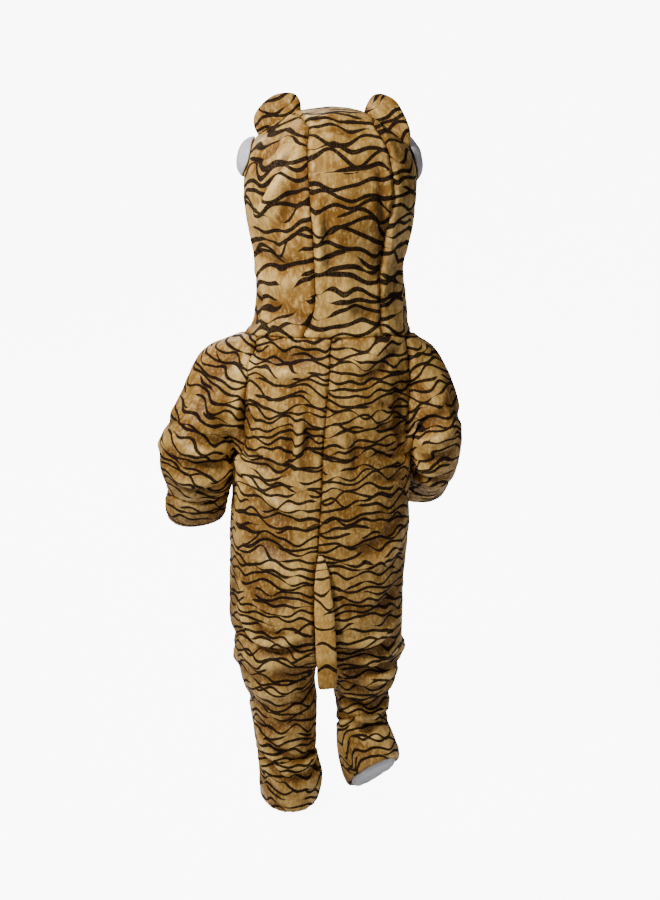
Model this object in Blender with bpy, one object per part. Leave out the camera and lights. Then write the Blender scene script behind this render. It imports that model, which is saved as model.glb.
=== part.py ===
"""Child's tiger costume: hooded one-piece suit with mitts, booties, ears and tail, worn pose, no wearer.

Units are metres. The front faces -Y, the wearer's left is +X, Z is up. The origin lies midway between the
shoulders at the base of the neck. All cloth pieces are cut out of one common surface of four-sided faces, so
that neighbouring pieces meet in a mitre with a fine seam gap and every wall is hollow and equally thick.
"""
import math

import bmesh
import bpy
import numpy as np
from mathutils import Matrix, Vector
from mathutils.bvhtree import BVHTree

WALL = 0.0020            # plush and its backing
SOLE_WALL = 0.0025
SEAM_HALF_GAP = 0.00016  # each side of a seam
LIE_GAP = 0.0004         # between a piece and the panel that it lies on
ZIP_HALF_GAP = 0.0042    # from the centre front to the folded edge beside the zip

HALF = 16                # columns from centre back to centre front
STRIP = 3                # column of the hood strip's seam
ARM_BACK = 6             # column where the armhole leaves the back
SIDE = 8                 # column of the side seam
ARM_FRONT = 10           # column where the armhole reaches the front
ARM_ROWS = 8             # rows from the neck to the underarm
FORK_ROW = 20            # row where the body divides into the legs
ZIP_ROW = 15             # lowest row of the zip
FORK_POINTS = 5          # points of the crotch curve between front and back
HOOD_ROWS = 15
SLEEVE_ROWS = 11
LEG_ROWS = 8

# One row per key column of the body: degrees from centre back, at the neck on the wearer's left and right,
# at the underarm and at the hips.
COLUMN_FIELDS = ("column", "neck_left", "neck_right", "underarm", "hips")
COLUMNS = (
    (0, 0.0, 0.0, 0.0, 0.0),
    (3, 15.0, 39.0, 30.0, 32.0),
    (6, 54.0, 62.0, 68.0, 64.0),
    (8, 90.0, 90.0, 90.0, 90.0),
    (10, 124.0, 118.0, 112.0, 116.0),
    (13, 151.0, 150.0, 146.0, 148.0),
    (16, 180.0, 180.0, 180.0, 180.0),
)

# One row per key ring of the body, from the neck to the fork.
BODY_FIELDS = ("name", "row", "z", "middle_x", "half_width", "back", "front")
BODY = (
    ("neck", 0, 0.006, -0.009, 0.118, 0.095, 0.088),
    ("yoke", 2, -0.042, -0.008, 0.126, 0.100, 0.098),
    ("chest", 5, -0.110, -0.004, 0.129, 0.099, 0.110),
    ("underarm", 8, -0.172, -0.001, 0.125, 0.096, 0.116),
    ("elbow_level", 10, -0.218, 0.000, 0.1275, 0.095, 0.120),
    ("waist", 12, -0.264, 0.003, 0.131, 0.096, 0.123),
    ("belly", 15, -0.334, 0.0065, 0.130, 0.102, 0.123),
    ("seat", 18, -0.406, 0.009, 0.1285, 0.107, 0.114),
    ("fork", 20, -0.452, 0.008, 0.1265, 0.101, 0.104),
)
BODY_POWER = 2.3         # of the rings' superellipse
NECK_FRONT_DROP = 0.034  # the neck ring dips at centre front
FORK_X = 0.001           # the crotch's lowest point lies here from side to side
FORK_DROP = 0.036        # the crotch hangs this far below the fork ring

# One row per key ring of a leg. row counts down from the fork.
LEG_FIELDS = ("name", "row", "x", "y", "z", "half_width", "half_depth", "pitch", "yaw")
LEGS = {
    "left": (
        ("thigh", 2, 0.0665, 0.000, -0.514, 0.0560, 0.082, 0.0, 0.0),
        ("knee", 4, 0.0580, 0.002, -0.556, 0.0520, 0.069, 0.0, 0.0),
        ("shin", 6, 0.0560, 0.006, -0.600, 0.0480, 0.058, 0.0, 0.0),
        ("ankle", 8, 0.0530, 0.009, -0.637, 0.0445, 0.050, 0.0, 0.0),
    ),
    "right": (
        ("thigh", 2, -0.0620, -0.008, -0.508, 0.0530, 0.081, 0.0, 0.0),
        ("knee", 4, -0.0610, -0.014, -0.540, 0.0470, 0.065, 0.0, 0.0),
        ("shin", 6, -0.0615, -0.012, -0.567, 0.0400, 0.054, 10.0, 6.0),
        ("ankle", 8, -0.0610, -0.006, -0.590, 0.0390, 0.048, 24.0, 16.0),
    ),
}

# One row per ring of a foot, measured from the ankle ring and turned with the foot.
FOOT_FIELDS = ("name", "x", "y", "z", "half_width", "half_depth")
FOOT = (
    ("instep", -0.002, -0.013, -0.021, 0.0490, 0.064),
    ("arch", -0.004, -0.029, -0.043, 0.0520, 0.083),
    ("toe_top", -0.004, -0.037, -0.063, 0.0520, 0.091),
    ("edge", -0.003, -0.038, -0.078, 0.0490, 0.089),
    ("sole_seam", -0.002, -0.038, -0.086, 0.0430, 0.083),
)
# Heel lifted, toes turned in and outer edge lifted, in degrees, how far the foot hangs to +X of its ankle, and
# its width beside the table's.
FEET = {"left": (0.0, 0.0, 0.0, -0.002, 1.06), "right": (36.0, 14.0, 14.0, 0.011, 0.91)}
TOE_TAPER = 0.22         # narrower towards the toes
SOLE_RING = 0.55

# One row per key ring of a sleeve and its mitt. row 0 is the armhole seam itself. lean turns the ring about the
# front-to-back line so that its outer side rises, forward turns it so that the hand side swings to the front.
SLEEVE_FIELDS = ("name", "row", "x", "y", "z", "across", "depth", "lean", "forward")
SLEEVES = {
    "left": (
        ("shoulder", 2, 0.1470, 0.000, -0.096, 0.0760, 0.059, 72.0, 0.0),
        ("upper_arm", 4, 0.1630, 0.008, -0.114, 0.0470, 0.059, 40.0, 0.0),
        ("elbow", 7, 0.1820, 0.022, -0.166, 0.0525, 0.054, 14.0, 4.0),
        ("forearm", 9, 0.1835, 0.014, -0.204, 0.0510, 0.049, 4.0, 12.0),
        ("wrist", 11, 0.1795, -0.008, -0.235, 0.0460, 0.038, 0.0, 22.0),
        ("hand", 13, 0.1860, -0.022, -0.261, 0.0480, 0.036, -6.0, 24.0),
        ("fingers", 15, 0.1840, -0.034, -0.289, 0.0400, 0.025, -8.0, 24.0),
    ),
    "right": (
        ("shoulder", 2, -0.1450, 0.000, -0.096, 0.0730, 0.058, 74.0, 0.0),
        ("upper_arm", 4, -0.1610, 0.006, -0.108, 0.0400, 0.058, 40.0, 0.0),
        ("elbow", 7, -0.1655, 0.018, -0.158, 0.0365, 0.054, 8.0, 20.0),
        ("forearm", 9, -0.1630, -0.022, -0.198, 0.0350, 0.048, 0.0, 46.0),
        ("wrist", 11, -0.1550, -0.072, -0.228, 0.0350, 0.037, -4.0, 58.0),
        ("hand", 13, -0.1500, -0.100, -0.251, 0.0420, 0.035, -6.0, 56.0),
        ("fingers", 15, -0.1420, -0.123, -0.270, 0.0350, 0.023, -8.0, 52.0),
    ),
}
MITT_ROWS = 5
MITT_TIP = ((0.0, 0.0, -0.008), 0.027)  # from the last ring's centre to the closing seam, and its half length

# Key points of the hood's half, in its own frame before it is turned: out to the side, towards the back, up.
HOOD_COLUMNS = (3, 6, 9, 13, 16)
HOOD_FIELDS = ("name", "row", "seam", "rear", "side", "front", "edge")
HOOD = (
    ("throat", 2, (0.047, 0.089, 0.044), (0.086, 0.055, 0.043), (0.110, -0.026, 0.036),
     (0.063, -0.079, 0.020), (0.022, -0.094, 0.002)),
    ("nape", 4, (0.047, 0.087, 0.096), (0.085, 0.056, 0.096), (0.1065, -0.018, 0.092),
     (0.075, -0.071, 0.076), (0.052, -0.098, 0.058)),
    ("jaw", 6, (0.052, 0.099, 0.142), (0.091, 0.066, 0.142), (0.1145, -0.009, 0.141),
     (0.093, -0.072, 0.132), (0.070, -0.102, 0.121)),
    ("temple", 9, (0.061, 0.106, 0.206), (0.102, 0.071, 0.208), (0.1225, -0.002, 0.210),
     (0.103, -0.070, 0.206), (0.079, -0.103, 0.200)),
    ("brow", 12, (0.058, 0.086, 0.262), (0.091, 0.056, 0.264), (0.1090, -0.004, 0.266),
     (0.094, -0.064, 0.266), (0.074, -0.099, 0.262)),
    ("crown", 15, (0.047, 0.050, 0.297), (0.049, 0.026, 0.304), (0.050, -0.008, 0.307),
     (0.051, -0.054, 0.303), (0.050, -0.092, 0.291)),
)
HOOD_TURN = 15.0         # degrees to the wearer's left
HOOD_ROLL = -0.5         # degrees, below 0 towards the wearer's right shoulder
HOOD_SHIFT = Vector((-0.0115, 0.000, 0.0))
CROWN_ARCH = 0.007       # rise of the strip between its seams

# Ears: where each stands on the hood (ends of the base line), its height, padding and which way it points.
EAR_FIELDS = ("name", "inner_end", "outer_end", "height", "thickness", "upwards")
EARS = (
    ("ear_left", (0.031, -0.010, 0.310), (0.097, -0.010, 0.281), 0.035, 0.017, (0.06, 0.04, 1.0)),
    ("ear_right", (-0.061, 0.004, 0.308), (-0.116, 0.004, 0.256), 0.044, 0.017, (-0.30, 0.06, 1.0)),
)
EAR_GAP = 0.0010
EAR_COLUMNS = 8
EAR_ROWS = 5

# White pads, oval on the grid of the hood's side: centre column and row, half columns and half rows.
PAD_FIELDS = ("name", "column", "row", "half_columns", "half_rows")
PADS = (
    ("cheek_left", 11.4, 10.8, 2.6, 1.45),
    ("cheek_right", -9.6, 10.8, 2.6, 1.90),
)
PAD_HEIGHT = 0.010
PAD_EDGE = 0.0020
PAD_GAP = 0.0013
PAD_RINGS = 4
PAD_POINTS = 20

# One row per section of the tail.
TAIL_FIELDS = ("z", "x", "half_width", "half_thickness")
TAIL = (
    (-0.306, 0.0015, 0.0030, 0.0022),
    (-0.316, 0.0005, 0.0070, 0.0032),
    (-0.332, -0.0005, 0.0098, 0.0042),
    (-0.356, -0.0015, 0.0122, 0.0050),
    (-0.384, -0.0030, 0.0140, 0.0054),
    (-0.414, -0.0045, 0.0146, 0.0056),
    (-0.444, -0.0058, 0.0146, 0.0056),
    (-0.474, -0.0070, 0.0143, 0.0054),
    (-0.494, -0.0078, 0.0138, 0.0048),
    (-0.501, -0.0082, 0.0130, 0.0032),
)

# Largest folds: half width, depth (down is negative) and the points that the fold runs along.
FOLD_FIELDS = ("name", "half_width", "depth", "points")
FOLDS = (
    ("hood_left_ridge", 0.016, 0.0050, ((0.030, 0.09, 0.27), (0.072, 0.09, 0.205), (0.098, 0.06, 0.16))),
    ("hood_left_trough", 0.014, -0.0050, ((0.020, 0.10, 0.235), (0.045, 0.11, 0.180), (0.070, 0.09, 0.125))),
    ("armpit_left", 0.014, -0.0060, ((0.098, 0.08, -0.06), (0.112, 0.07, -0.11), (0.124, 0.05, -0.17))),
    ("armpit_right", 0.014, -0.0060, ((-0.112, 0.07, -0.05), (-0.116, 0.07, -0.11), (-0.124, 0.05, -0.17))),
    ("seat_left", 0.017, -0.0040, ((0.120, 0.05, -0.44), (0.075, 0.10, -0.475), (0.030, 0.10, -0.47))),
    ("seat_right", 0.017, -0.0040, ((-0.108, 0.05, -0.45), (-0.070, 0.09, -0.480), (-0.025, 0.10, -0.47))),
    ("knee_right_out", 0.012, 0.0045, ((-0.115, 0.00, -0.50), (-0.09, 0.05, -0.515), (-0.05, 0.07, -0.53))),
    ("knee_right_in", 0.012, -0.0050, ((-0.112, 0.00, -0.53), (-0.09, 0.04, -0.54), (-0.04, 0.06, -0.555))),
    ("ankle_left_a", 0.011, -0.0045, ((0.097, 0.01, -0.63), (0.075, 0.055, -0.655), (0.052, 0.06, -0.668))),
    ("ankle_left_b", 0.011, -0.0040, ((0.008, 0.02, -0.645), (0.030, 0.055, -0.660), (0.052, 0.06, -0.668))),
    ("elbow_left", 0.013, -0.0050, ((0.130, 0.05, -0.19), (0.160, 0.055, -0.185), (0.190, 0.05, -0.17))),
    ("belly_left", 0.018, -0.0040, ((0.11, -0.07, -0.30), (0.06, -0.11, -0.34), (0.02, -0.12, -0.36))),
    ("belly_right", 0.018, -0.0040, ((-0.10, -0.07, -0.31), (-0.05, -0.11, -0.35), (-0.02, -0.12, -0.37))),
)


def record(fields, row):
    """A table row as named values."""
    return dict(zip(fields, row))


def curve(keys, values, at):
    """Smooth curve through the values at the keys, read at one place."""
    keys = [float(k) for k in keys]
    values = [np.array(v, dtype=float) for v in values]
    i = max(0, min(len(keys) - 2, int(np.searchsorted(keys, at, side="right")) - 1))

    def slope(j):
        if j == 0:
            return (values[1] - values[0]) / (keys[1] - keys[0])
        if j == len(keys) - 1:
            return (values[-1] - values[-2]) / (keys[-1] - keys[-2])
        before = (values[j] - values[j - 1]) / (keys[j] - keys[j - 1])
        after = (values[j + 1] - values[j]) / (keys[j + 1] - keys[j])
        share = (keys[j] - keys[j - 1]) / (keys[j + 1] - keys[j - 1])
        return before * (1.0 - share) + after * share

    width = keys[i + 1] - keys[i]
    t = (at - keys[i]) / width
    h00 = 2 * t ** 3 - 3 * t ** 2 + 1
    h10 = t ** 3 - 2 * t ** 2 + t
    h01 = -2 * t ** 3 + 3 * t ** 2
    h11 = t ** 3 - t ** 2
    return h00 * values[i] + h10 * width * slope(i) + h01 * values[i + 1] + h11 * width * slope(i + 1)


def table_at(fields, rows, key, at):
    """The numeric columns of a table, read smoothly at one value of its key column."""
    names = [f for f in fields if f not in ("name", key)]
    first = fields.index(key)
    picked = [[row[fields.index(n)] for n in names] for row in rows]
    return dict(zip(names, curve([row[first] for row in rows], picked, at)))


class Surface:
    """The common surface: shared points and faces, each face belonging to one panel."""

    def __init__(self):
        self.points = []
        self.faces = []
        self.panels = []

    def point(self, place):
        self.points.append(Vector(place))
        return len(self.points) - 1

    def face(self, panel, corners, flip=False):
        corners = list(corners)
        if flip:
            corners.reverse()
        self.faces.append(corners)
        self.panels.append(panel)

    def of(self, panel):
        return [f for f, p in zip(self.faces, self.panels) if p == panel]

    def normals(self):
        """Point normals shared by all panels, weighted by corner angle."""
        sums = [Vector() for _ in self.points]
        for face in self.faces:
            for i, here in enumerate(face):
                a = self.points[face[i - 1]] - self.points[here]
                b = self.points[face[(i + 1) % len(face)]] - self.points[here]
                if a.length > 1e-9 and b.length > 1e-9:
                    sums[here] += b.cross(a).normalized() * a.angle(b)
        return [s.normalized() for s in sums]


def body_angle(column, row, sign):
    """Degrees from centre back of a column at a row of the body."""
    c = table_at(COLUMN_FIELDS, COLUMNS, "column", abs(column))
    neck = c["neck_left"] if sign > 0 else c["neck_right"]
    if row <= ARM_ROWS:
        share = min(1.0, row / ARM_ROWS)
        return neck * (1.0 - share) + c["underarm"] * share
    share = min(1.0, (row - ARM_ROWS) / 4.0)
    return c["underarm"] * (1.0 - share) + c["hips"] * share


def body_point(column, row):
    """A point of the body's rings; columns below 0 lie on the wearer's right."""
    ring = table_at(BODY_FIELDS, BODY, "row", row)
    sign = -1.0 if column < 0 else 1.0
    angle = math.radians(body_angle(column, row, sign))
    s = abs(math.sin(angle)) ** (2.0 / BODY_POWER)
    c = abs(math.cos(angle)) ** (2.0 / BODY_POWER)
    depth = ring["back"] * c if math.cos(angle) > 0 else -ring["front"] * c
    front = (1.0 - math.cos(angle)) / 2.0
    drop = NECK_FRONT_DROP * front ** 2 * max(0.0, 1.0 - row / 5.0)
    return Vector((ring["middle_x"] + sign * ring["half_width"] * s, depth, ring["z"] - drop))


def body_panel(column):
    side = "left" if column >= 0 else "right"
    place = column if column >= 0 else -column - 1
    return ("back_" if place < SIDE else "front_") + side


def make_body(surface):
    """Rings from the neck to the fork. Returns the point at each (row, column)."""
    grid = {}
    for row in range(FORK_ROW + 1):
        for column in range(-HALF + 1, HALF + 1):
            if 0 < row < ARM_ROWS and ARM_BACK < abs(column) < ARM_FRONT:
                continue
            grid[row, column] = surface.point(body_point(column, row))
        grid[row, -HALF] = grid[row, HALF]
    for row in range(FORK_ROW):
        for column in range(-HALF, HALF):
            place = column if column >= 0 else -column - 1
            if row < ARM_ROWS and ARM_BACK <= place < ARM_FRONT:
                continue
            corners = (grid[row, column], grid[row, column + 1], grid[row + 1, column + 1], grid[row + 1, column])
            surface.face(body_panel(column), corners)
    return grid


def turned(pitch, yaw, roll=0.0):
    """Rotation that lifts a ring's back by pitch, turns its front to +X by yaw and lifts its -X side by roll."""
    lift = Matrix.Rotation(math.radians(pitch), 3, "X") @ Matrix.Rotation(math.radians(roll), 3, "Y")
    return Matrix.Rotation(math.radians(yaw), 3, "Z") @ lift


def leg_angle(index):
    """Degrees from the back, growing over the outer side, of a leg ring's point."""
    if index <= HALF:
        return -36.0 + 252.0 * index / HALF
    return 216.0 + 108.0 * (index - HALF) / (FORK_POINTS + 1)


def ring_point(centre, half_width, half_depth, degrees, turn, sign, taper=0.0):
    angle = math.radians(degrees)
    width = half_width * (1.0 - taper * (1.0 - math.cos(angle)) / 2.0)
    return Vector(centre) + turn @ Vector((sign * width * math.sin(angle), half_depth * math.cos(angle), 0.0))


def make_leg(surface, side, grid, fork):
    """Rings of one leg down to the ankle. Returns the ankle ring."""
    sign = 1.0 if side == "left" else -1.0
    flip = side == "right"
    top = [grid[FORK_ROW, int(sign) * c] for c in range(HALF + 1)]
    top += list(reversed(fork))
    count = len(top)
    tops = [surface.points[i] for i in top]
    rows = LEGS[side]
    rings = [top]
    for row in range(1, LEG_ROWS + 1):
        ring = []
        for index in range(count):
            degrees = leg_angle(index)
            places = [tops[index]]
            for line in rows:
                r = record(LEG_FIELDS, line)
                turn = turned(r["pitch"], r["yaw"] * (1.0 if side == "right" else -1.0))
                places.append(ring_point((r["x"], r["y"], r["z"]), r["half_width"], r["half_depth"],
                                         degrees, turn, sign))
            keys = [0] + [line[1] for line in rows]
            ring.append(surface.point(curve(keys, places, row)))
        rings.append(ring)
    for row in range(LEG_ROWS):
        for index in range(count):
            after = (index + 1) % count
            half = HALF + (FORK_POINTS + 1) // 2
            name = "back_" if index < SIDE or index >= half else "front_"
            corners = (rings[row][index], rings[row][after], rings[row + 1][after], rings[row + 1][index])
            surface.face(name + side, corners, flip)
    return rings[-1]


def make_foot(surface, side, ankle):
    """Bootie upper and sole below the ankle ring."""
    sign = 1.0 if side == "left" else -1.0
    flip = side == "right"
    last = record(LEG_FIELDS, LEGS[side][-1])
    pitch, yaw, roll, aside, wide = FEET[side]
    turn = turned(pitch, yaw, roll)
    base = Vector((last["x"] + aside, last["y"], last["z"]))
    rings = [ankle]
    for line in FOOT:
        r = record(FOOT_FIELDS, line)
        centre = base + turn @ Vector((r["x"], r["y"], r["z"]))
        ring = []
        for index in range(len(ankle)):
            ring.append(surface.point(ring_point(centre, r["half_width"] * wide, r["half_depth"], leg_angle(index),
                                                 turn, sign, TOE_TAPER)))
        rings.append(ring)
    count = len(ankle)
    for row in range(len(FOOT)):
        for index in range(count):
            after = (index + 1) % count
            corners = (rings[row][index], rings[row][after], rings[row + 1][after], rings[row + 1][index])
            surface.face("bootie_" + side, corners, flip)
    r = record(FOOT_FIELDS, FOOT[-1])
    centre = base + turn @ Vector((r["x"], r["y"], r["z"] - 0.0035))
    inner = []
    for index in range(count):
        inner.append(surface.point(ring_point(centre, r["half_width"] * wide * SOLE_RING, r["half_depth"] * SOLE_RING,
                                              leg_angle(index), turn, sign, TOE_TAPER)))
    middle = surface.point(centre + turn @ Vector((0.0, 0.0, -0.0005)))
    for index in range(count):
        after = (index + 1) % count
        surface.face("sole_" + side, (rings[-1][index], rings[-1][after], inner[after], inner[index]), flip)
        surface.face("sole_" + side, (inner[index], inner[after], middle), flip)


def make_fork(surface, grid):
    """The crotch curve from centre back to centre front, shared by both legs."""
    back = surface.points[grid[FORK_ROW, 0]]
    front = surface.points[grid[FORK_ROW, HALF]]
    fork = []
    for i in range(1, FORK_POINTS + 1):
        t = i / (FORK_POINTS + 1)
        depth = back.lerp(front, 0.5 - 0.5 * math.cos(math.pi * t))
        depth.z -= FORK_DROP * math.sin(math.pi * t) ** 0.8
        depth.x += (FORK_X - depth.x) * math.sin(math.pi * t)
        fork.append(surface.point(depth))
    return fork


def armhole(grid, side):
    """The armhole seam: over the shoulder to the front, down, under the arm and up the back."""
    sign = 1 if side == "left" else -1
    loop = [grid[0, sign * c] for c in range(ARM_BACK, ARM_FRONT)]
    loop += [grid[r, sign * ARM_FRONT] for r in range(ARM_ROWS)]
    loop += [grid[ARM_ROWS, sign * c] for c in range(ARM_FRONT, ARM_BACK, -1)]
    loop += [grid[r, sign * ARM_BACK] for r in range(ARM_ROWS, 0, -1)]
    return loop


def sleeve_ring(side, line, index, count):
    r = record(SLEEVE_FIELDS, line)
    sign = 1.0 if side == "left" else -1.0
    degrees = 360.0 * (index - 2) / count
    angle = math.radians(degrees)
    lean = Matrix.Rotation(math.radians(-sign * r["lean"]), 3, "Y")
    swing = Matrix.Rotation(math.radians(-r["forward"]), 3, "X")
    local = Vector((sign * r["across"] * math.cos(angle), -r["depth"] * math.sin(angle), 0.0))
    return Vector((r["x"], r["y"], r["z"])) + swing @ (lean @ local)


def make_sleeve(surface, side, grid):
    """Sleeve from the armhole to the wrist, then the mitt's back and palm closed by a seam at the tip."""
    flip = side == "right"
    loop = armhole(grid, side)
    count = len(loop)
    starts = [surface.points[i] for i in loop]
    rows = SLEEVES[side]
    keys = [0] + [line[1] for line in rows]
    rings = [loop]
    last_row = rows[-1][1]
    for row in range(1, last_row + 1):
        ring = []
        for index in range(count):
            places = [starts[index]] + [sleeve_ring(side, line, index, count) for line in rows]
            ring.append(surface.point(curve(keys, places, row)))
        rings.append(ring)
    end = record(SLEEVE_FIELDS, rows[-1])
    offset, half_tip = MITT_TIP
    swing = Matrix.Rotation(math.radians(-end["forward"]), 3, "X")
    sign = 1.0 if side == "left" else -1.0
    lean = Matrix.Rotation(math.radians(-sign * end["lean"]), 3, "Y")
    centre = Vector((end["x"], end["y"], end["z"])) + swing @ Vector(offset)
    tip = [None] * count
    for index in range(2, 2 + count // 2 + 1):
        angle = math.radians(360.0 * (index - 2) / count)
        place = centre + swing @ (lean @ Vector((sign * half_tip * math.cos(angle), 0.0, 0.0)))
        here = surface.point(place)
        tip[index % count] = here
        tip[(4 - index) % count] = here
    rings.append(tip)
    for row in range(len(rings) - 1):
        for index in range(count):
            after = (index + 1) % count
            if row < SLEEVE_ROWS:
                name = "sleeve_" + side
            elif 2 <= index < 2 + count // 2:
                name = "mitt_palm_" + side
            else:
                name = "mitt_back_" + side
            corners = [rings[row][index], rings[row][after], rings[row + 1][after], rings[row + 1][index]]
            if corners[2] == corners[3]:
                corners.pop()
            surface.face(name, corners, flip)


def hood_place(local, sign, column):
    """A point of the hood's own frame in the costume's frame; the sides take up the turn above the neck."""
    place = Vector((sign * local[0], local[1], local[2]))
    roll = Matrix.Rotation(math.radians(HOOD_ROLL) * min(1.0, max(0.0, place.z / 0.2)), 3, "Y")
    place = roll @ place
    share = min(1.0, max(0.0, place.z / 0.14))
    held = {0: 0.9, STRIP: 0.9, 6: 0.5}.get(column, 0.1)
    share = held + (1.0 - held) * share
    place = Matrix.Rotation(math.radians(HOOD_TURN) * share, 3, "Z") @ place
    return place + HOOD_SHIFT + Vector((-0.004 * max(0.0, 1.0 - place.z / 0.14), 0.0, 0.0))


def make_hood(surface, grid):
    """Centre strip over the crown and two side panels round the face opening."""
    rows = [grid]
    ring = {0: {c: grid[0, c] for c in range(-HALF, HALF + 1)}}
    key_columns = [-c for c in reversed(HOOD_COLUMNS)] + [0] + list(HOOD_COLUMNS)
    key_rows = [0] + [line[1] for line in HOOD]
    nets = []
    neck = [surface.points[grid[0, c]] for c in key_columns]
    nets.append(neck)
    for line in HOOD:
        r = record(HOOD_FIELDS, line)
        half = [r[name] for name in HOOD_FIELDS[2:]]
        seam = half[0]
        left = [hood_place(p, 1.0, c) for p, c in zip(half, HOOD_COLUMNS)]
        right = [hood_place(p, -1.0, c) for p, c in zip(half, HOOD_COLUMNS)][::-1]
        bulge = 0.010 if line[0] != "crown" else 0.004
        middle = hood_place((0.0, seam[1] + bulge, seam[2]), 1.0, 0)
        nets.append(right + [middle] + left)
    for row in range(1, HOOD_ROWS + 1):
        across = [curve(key_rows, [net[k] for net in nets], row) for k in range(len(key_columns))]
        ring[row] = {}
        for column in range(-HALF, HALF + 1):
            ring[row][column] = surface.point(curve(key_columns, across, column))
    for row in range(HOOD_ROWS):
        for column in range(-HALF, HALF):
            place = column if column >= 0 else -column - 1
            side = "left" if column >= 0 else "right"
            name = "hood_strip" if place < STRIP else "hood_" + side
            corners = (ring[row + 1][column], ring[row + 1][column + 1], ring[row][column + 1], ring[row][column])
            surface.face(name, corners)
    top = ring[HOOD_ROWS]
    lines = [[top[c] for c in range(-STRIP, STRIP + 1)]]
    for step in range(1, HALF - STRIP + 1):
        left = surface.points[top[STRIP + step]]
        right = surface.points[top[-STRIP - step]]
        line = [top[-STRIP - step]]
        for c in range(-STRIP + 1, STRIP):
            share = (c + STRIP) / (2.0 * STRIP)
            place = right.lerp(left, share)
            place.z += CROWN_ARCH * 4.0 * share * (1.0 - share)
            line.append(surface.point(place))
        line.append(top[STRIP + step])
        lines.append(line)
    for step in range(len(lines) - 1):
        for c in range(2 * STRIP):
            corners = (lines[step + 1][c], lines[step + 1][c + 1], lines[step][c + 1], lines[step][c])
            surface.face("hood_strip", corners)
    return ring


def fold(surface):
    """Press the largest folds into the surface."""
    normals = surface.normals()
    moves = [0.0] * len(surface.points)
    for line in FOLDS:
        f = record(FOLD_FIELDS, line)
        path = [Vector(p) for p in f["points"]]
        lengths = [(b - a).length for a, b in zip(path, path[1:])]
        total = sum(lengths)
        for i, place in enumerate(surface.points):
            best = 1.0
            along = 0.0
            run = 0.0
            for a, b, length in zip(path, path[1:], lengths):
                t = max(0.0, min(1.0, (place - a).dot(b - a) / length ** 2))
                gap = (place - a.lerp(b, t)).length
                if gap < best:
                    best = gap
                    along = run + t * length
                run += length
            if best < 3.0 * f["half_width"]:
                fade = math.sin(math.pi * min(1.0, max(0.0, (along / total) * 0.8 + 0.1)))
                moves[i] += f["depth"] * fade * math.exp(-(best / f["half_width"]) ** 2)
    for i, move in enumerate(moves):
        surface.points[i] = surface.points[i] + normals[i] * move


def mitre(surface, faces, normals, gaps):
    """Where each point of a panel goes so that the panel's border stands back from its seams."""
    edges = {}
    for face in faces:
        for i, a in enumerate(face):
            b = face[(i + 1) % len(face)]
            edges[a, b] = True
    inward = {}
    for (a, b) in edges:
        if (b, a) in edges:
            continue
        along = surface.points[b] - surface.points[a]
        for here in (a, b):
            across = normals[here].cross(along).normalized()
            inward.setdefault(here, []).append((across, gaps(a, b)))
    places = {}
    for face in faces:
        for here in face:
            place = surface.points[here].copy()
            pulls = inward.get(here, [])
            if len(pulls) >= 2:
                (p, gp), (q, gq) = pulls[0], pulls[1]
                dot = p.dot(q)
                det = 1.0 - dot * dot
                if det > 0.02:
                    place += p * ((gp - gq * dot) / det) + q * ((gq - gp * dot) / det)
                else:
                    place += (p + q).normalized() * (gp + gq) / 2.0
            places[here] = place
    return places


def panel_mesh(surface, faces, normals, wall, gaps):
    """Closed wall of one panel: outer skin, inner skin and rim, all as triangles.

    Rims are split along the same diagonal on both sides of a seam.
    """
    places = mitre(surface, faces, normals, gaps)
    order = sorted(places)
    number = {here: i for i, here in enumerate(order)}
    count = len(order)
    verts = [places[here] for here in order]
    verts += [places[here] - normals[here] * wall for here in order]
    triangles = []
    edges = set()
    for face in faces:
        ids = [number[here] for here in face]
        for i in range(1, len(ids) - 1):
            triangles.append((ids[0], ids[i], ids[i + 1]))
            triangles.append((ids[0] + count, ids[i + 1] + count, ids[i] + count))
        for i, a in enumerate(ids):
            edges.add((a, ids[(i + 1) % len(ids)]))
    for a, b in sorted(edges):
        if (b, a) in edges:
            continue
        if a < b:
            triangles.append((b, a, b + count))
            triangles.append((a, a + count, b + count))
        else:
            triangles.append((b, a, a + count))
            triangles.append((b, a + count, b + count))
    return verts, triangles


def add_object(name, verts, triangles, material):
    mesh = bpy.data.meshes.new(name)
    mesh.from_pydata([tuple(v) for v in verts], [], triangles)
    mesh.validate()
    obj = bpy.data.objects.new(name, mesh)
    bpy.context.scene.collection.objects.link(obj)
    mesh.materials.append(material)
    return obj


def plain_material(name, colour, roughness, metallic=0.0):
    material = bpy.data.materials.new(name)
    material.use_nodes = True
    shader = material.node_tree.nodes["Principled BSDF"]
    shader.inputs["Base Color"].default_value = (*colour, 1.0)
    shader.inputs["Roughness"].default_value = roughness
    shader.inputs["Metallic"].default_value = metallic
    return material


def tiger(name):
    return plain_material(name + "_plush", (0.62, 0.40, 0.12), 0.85)


def white(name):
    return plain_material(name + "_white_plush", (0.80, 0.79, 0.82), 0.90)


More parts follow.
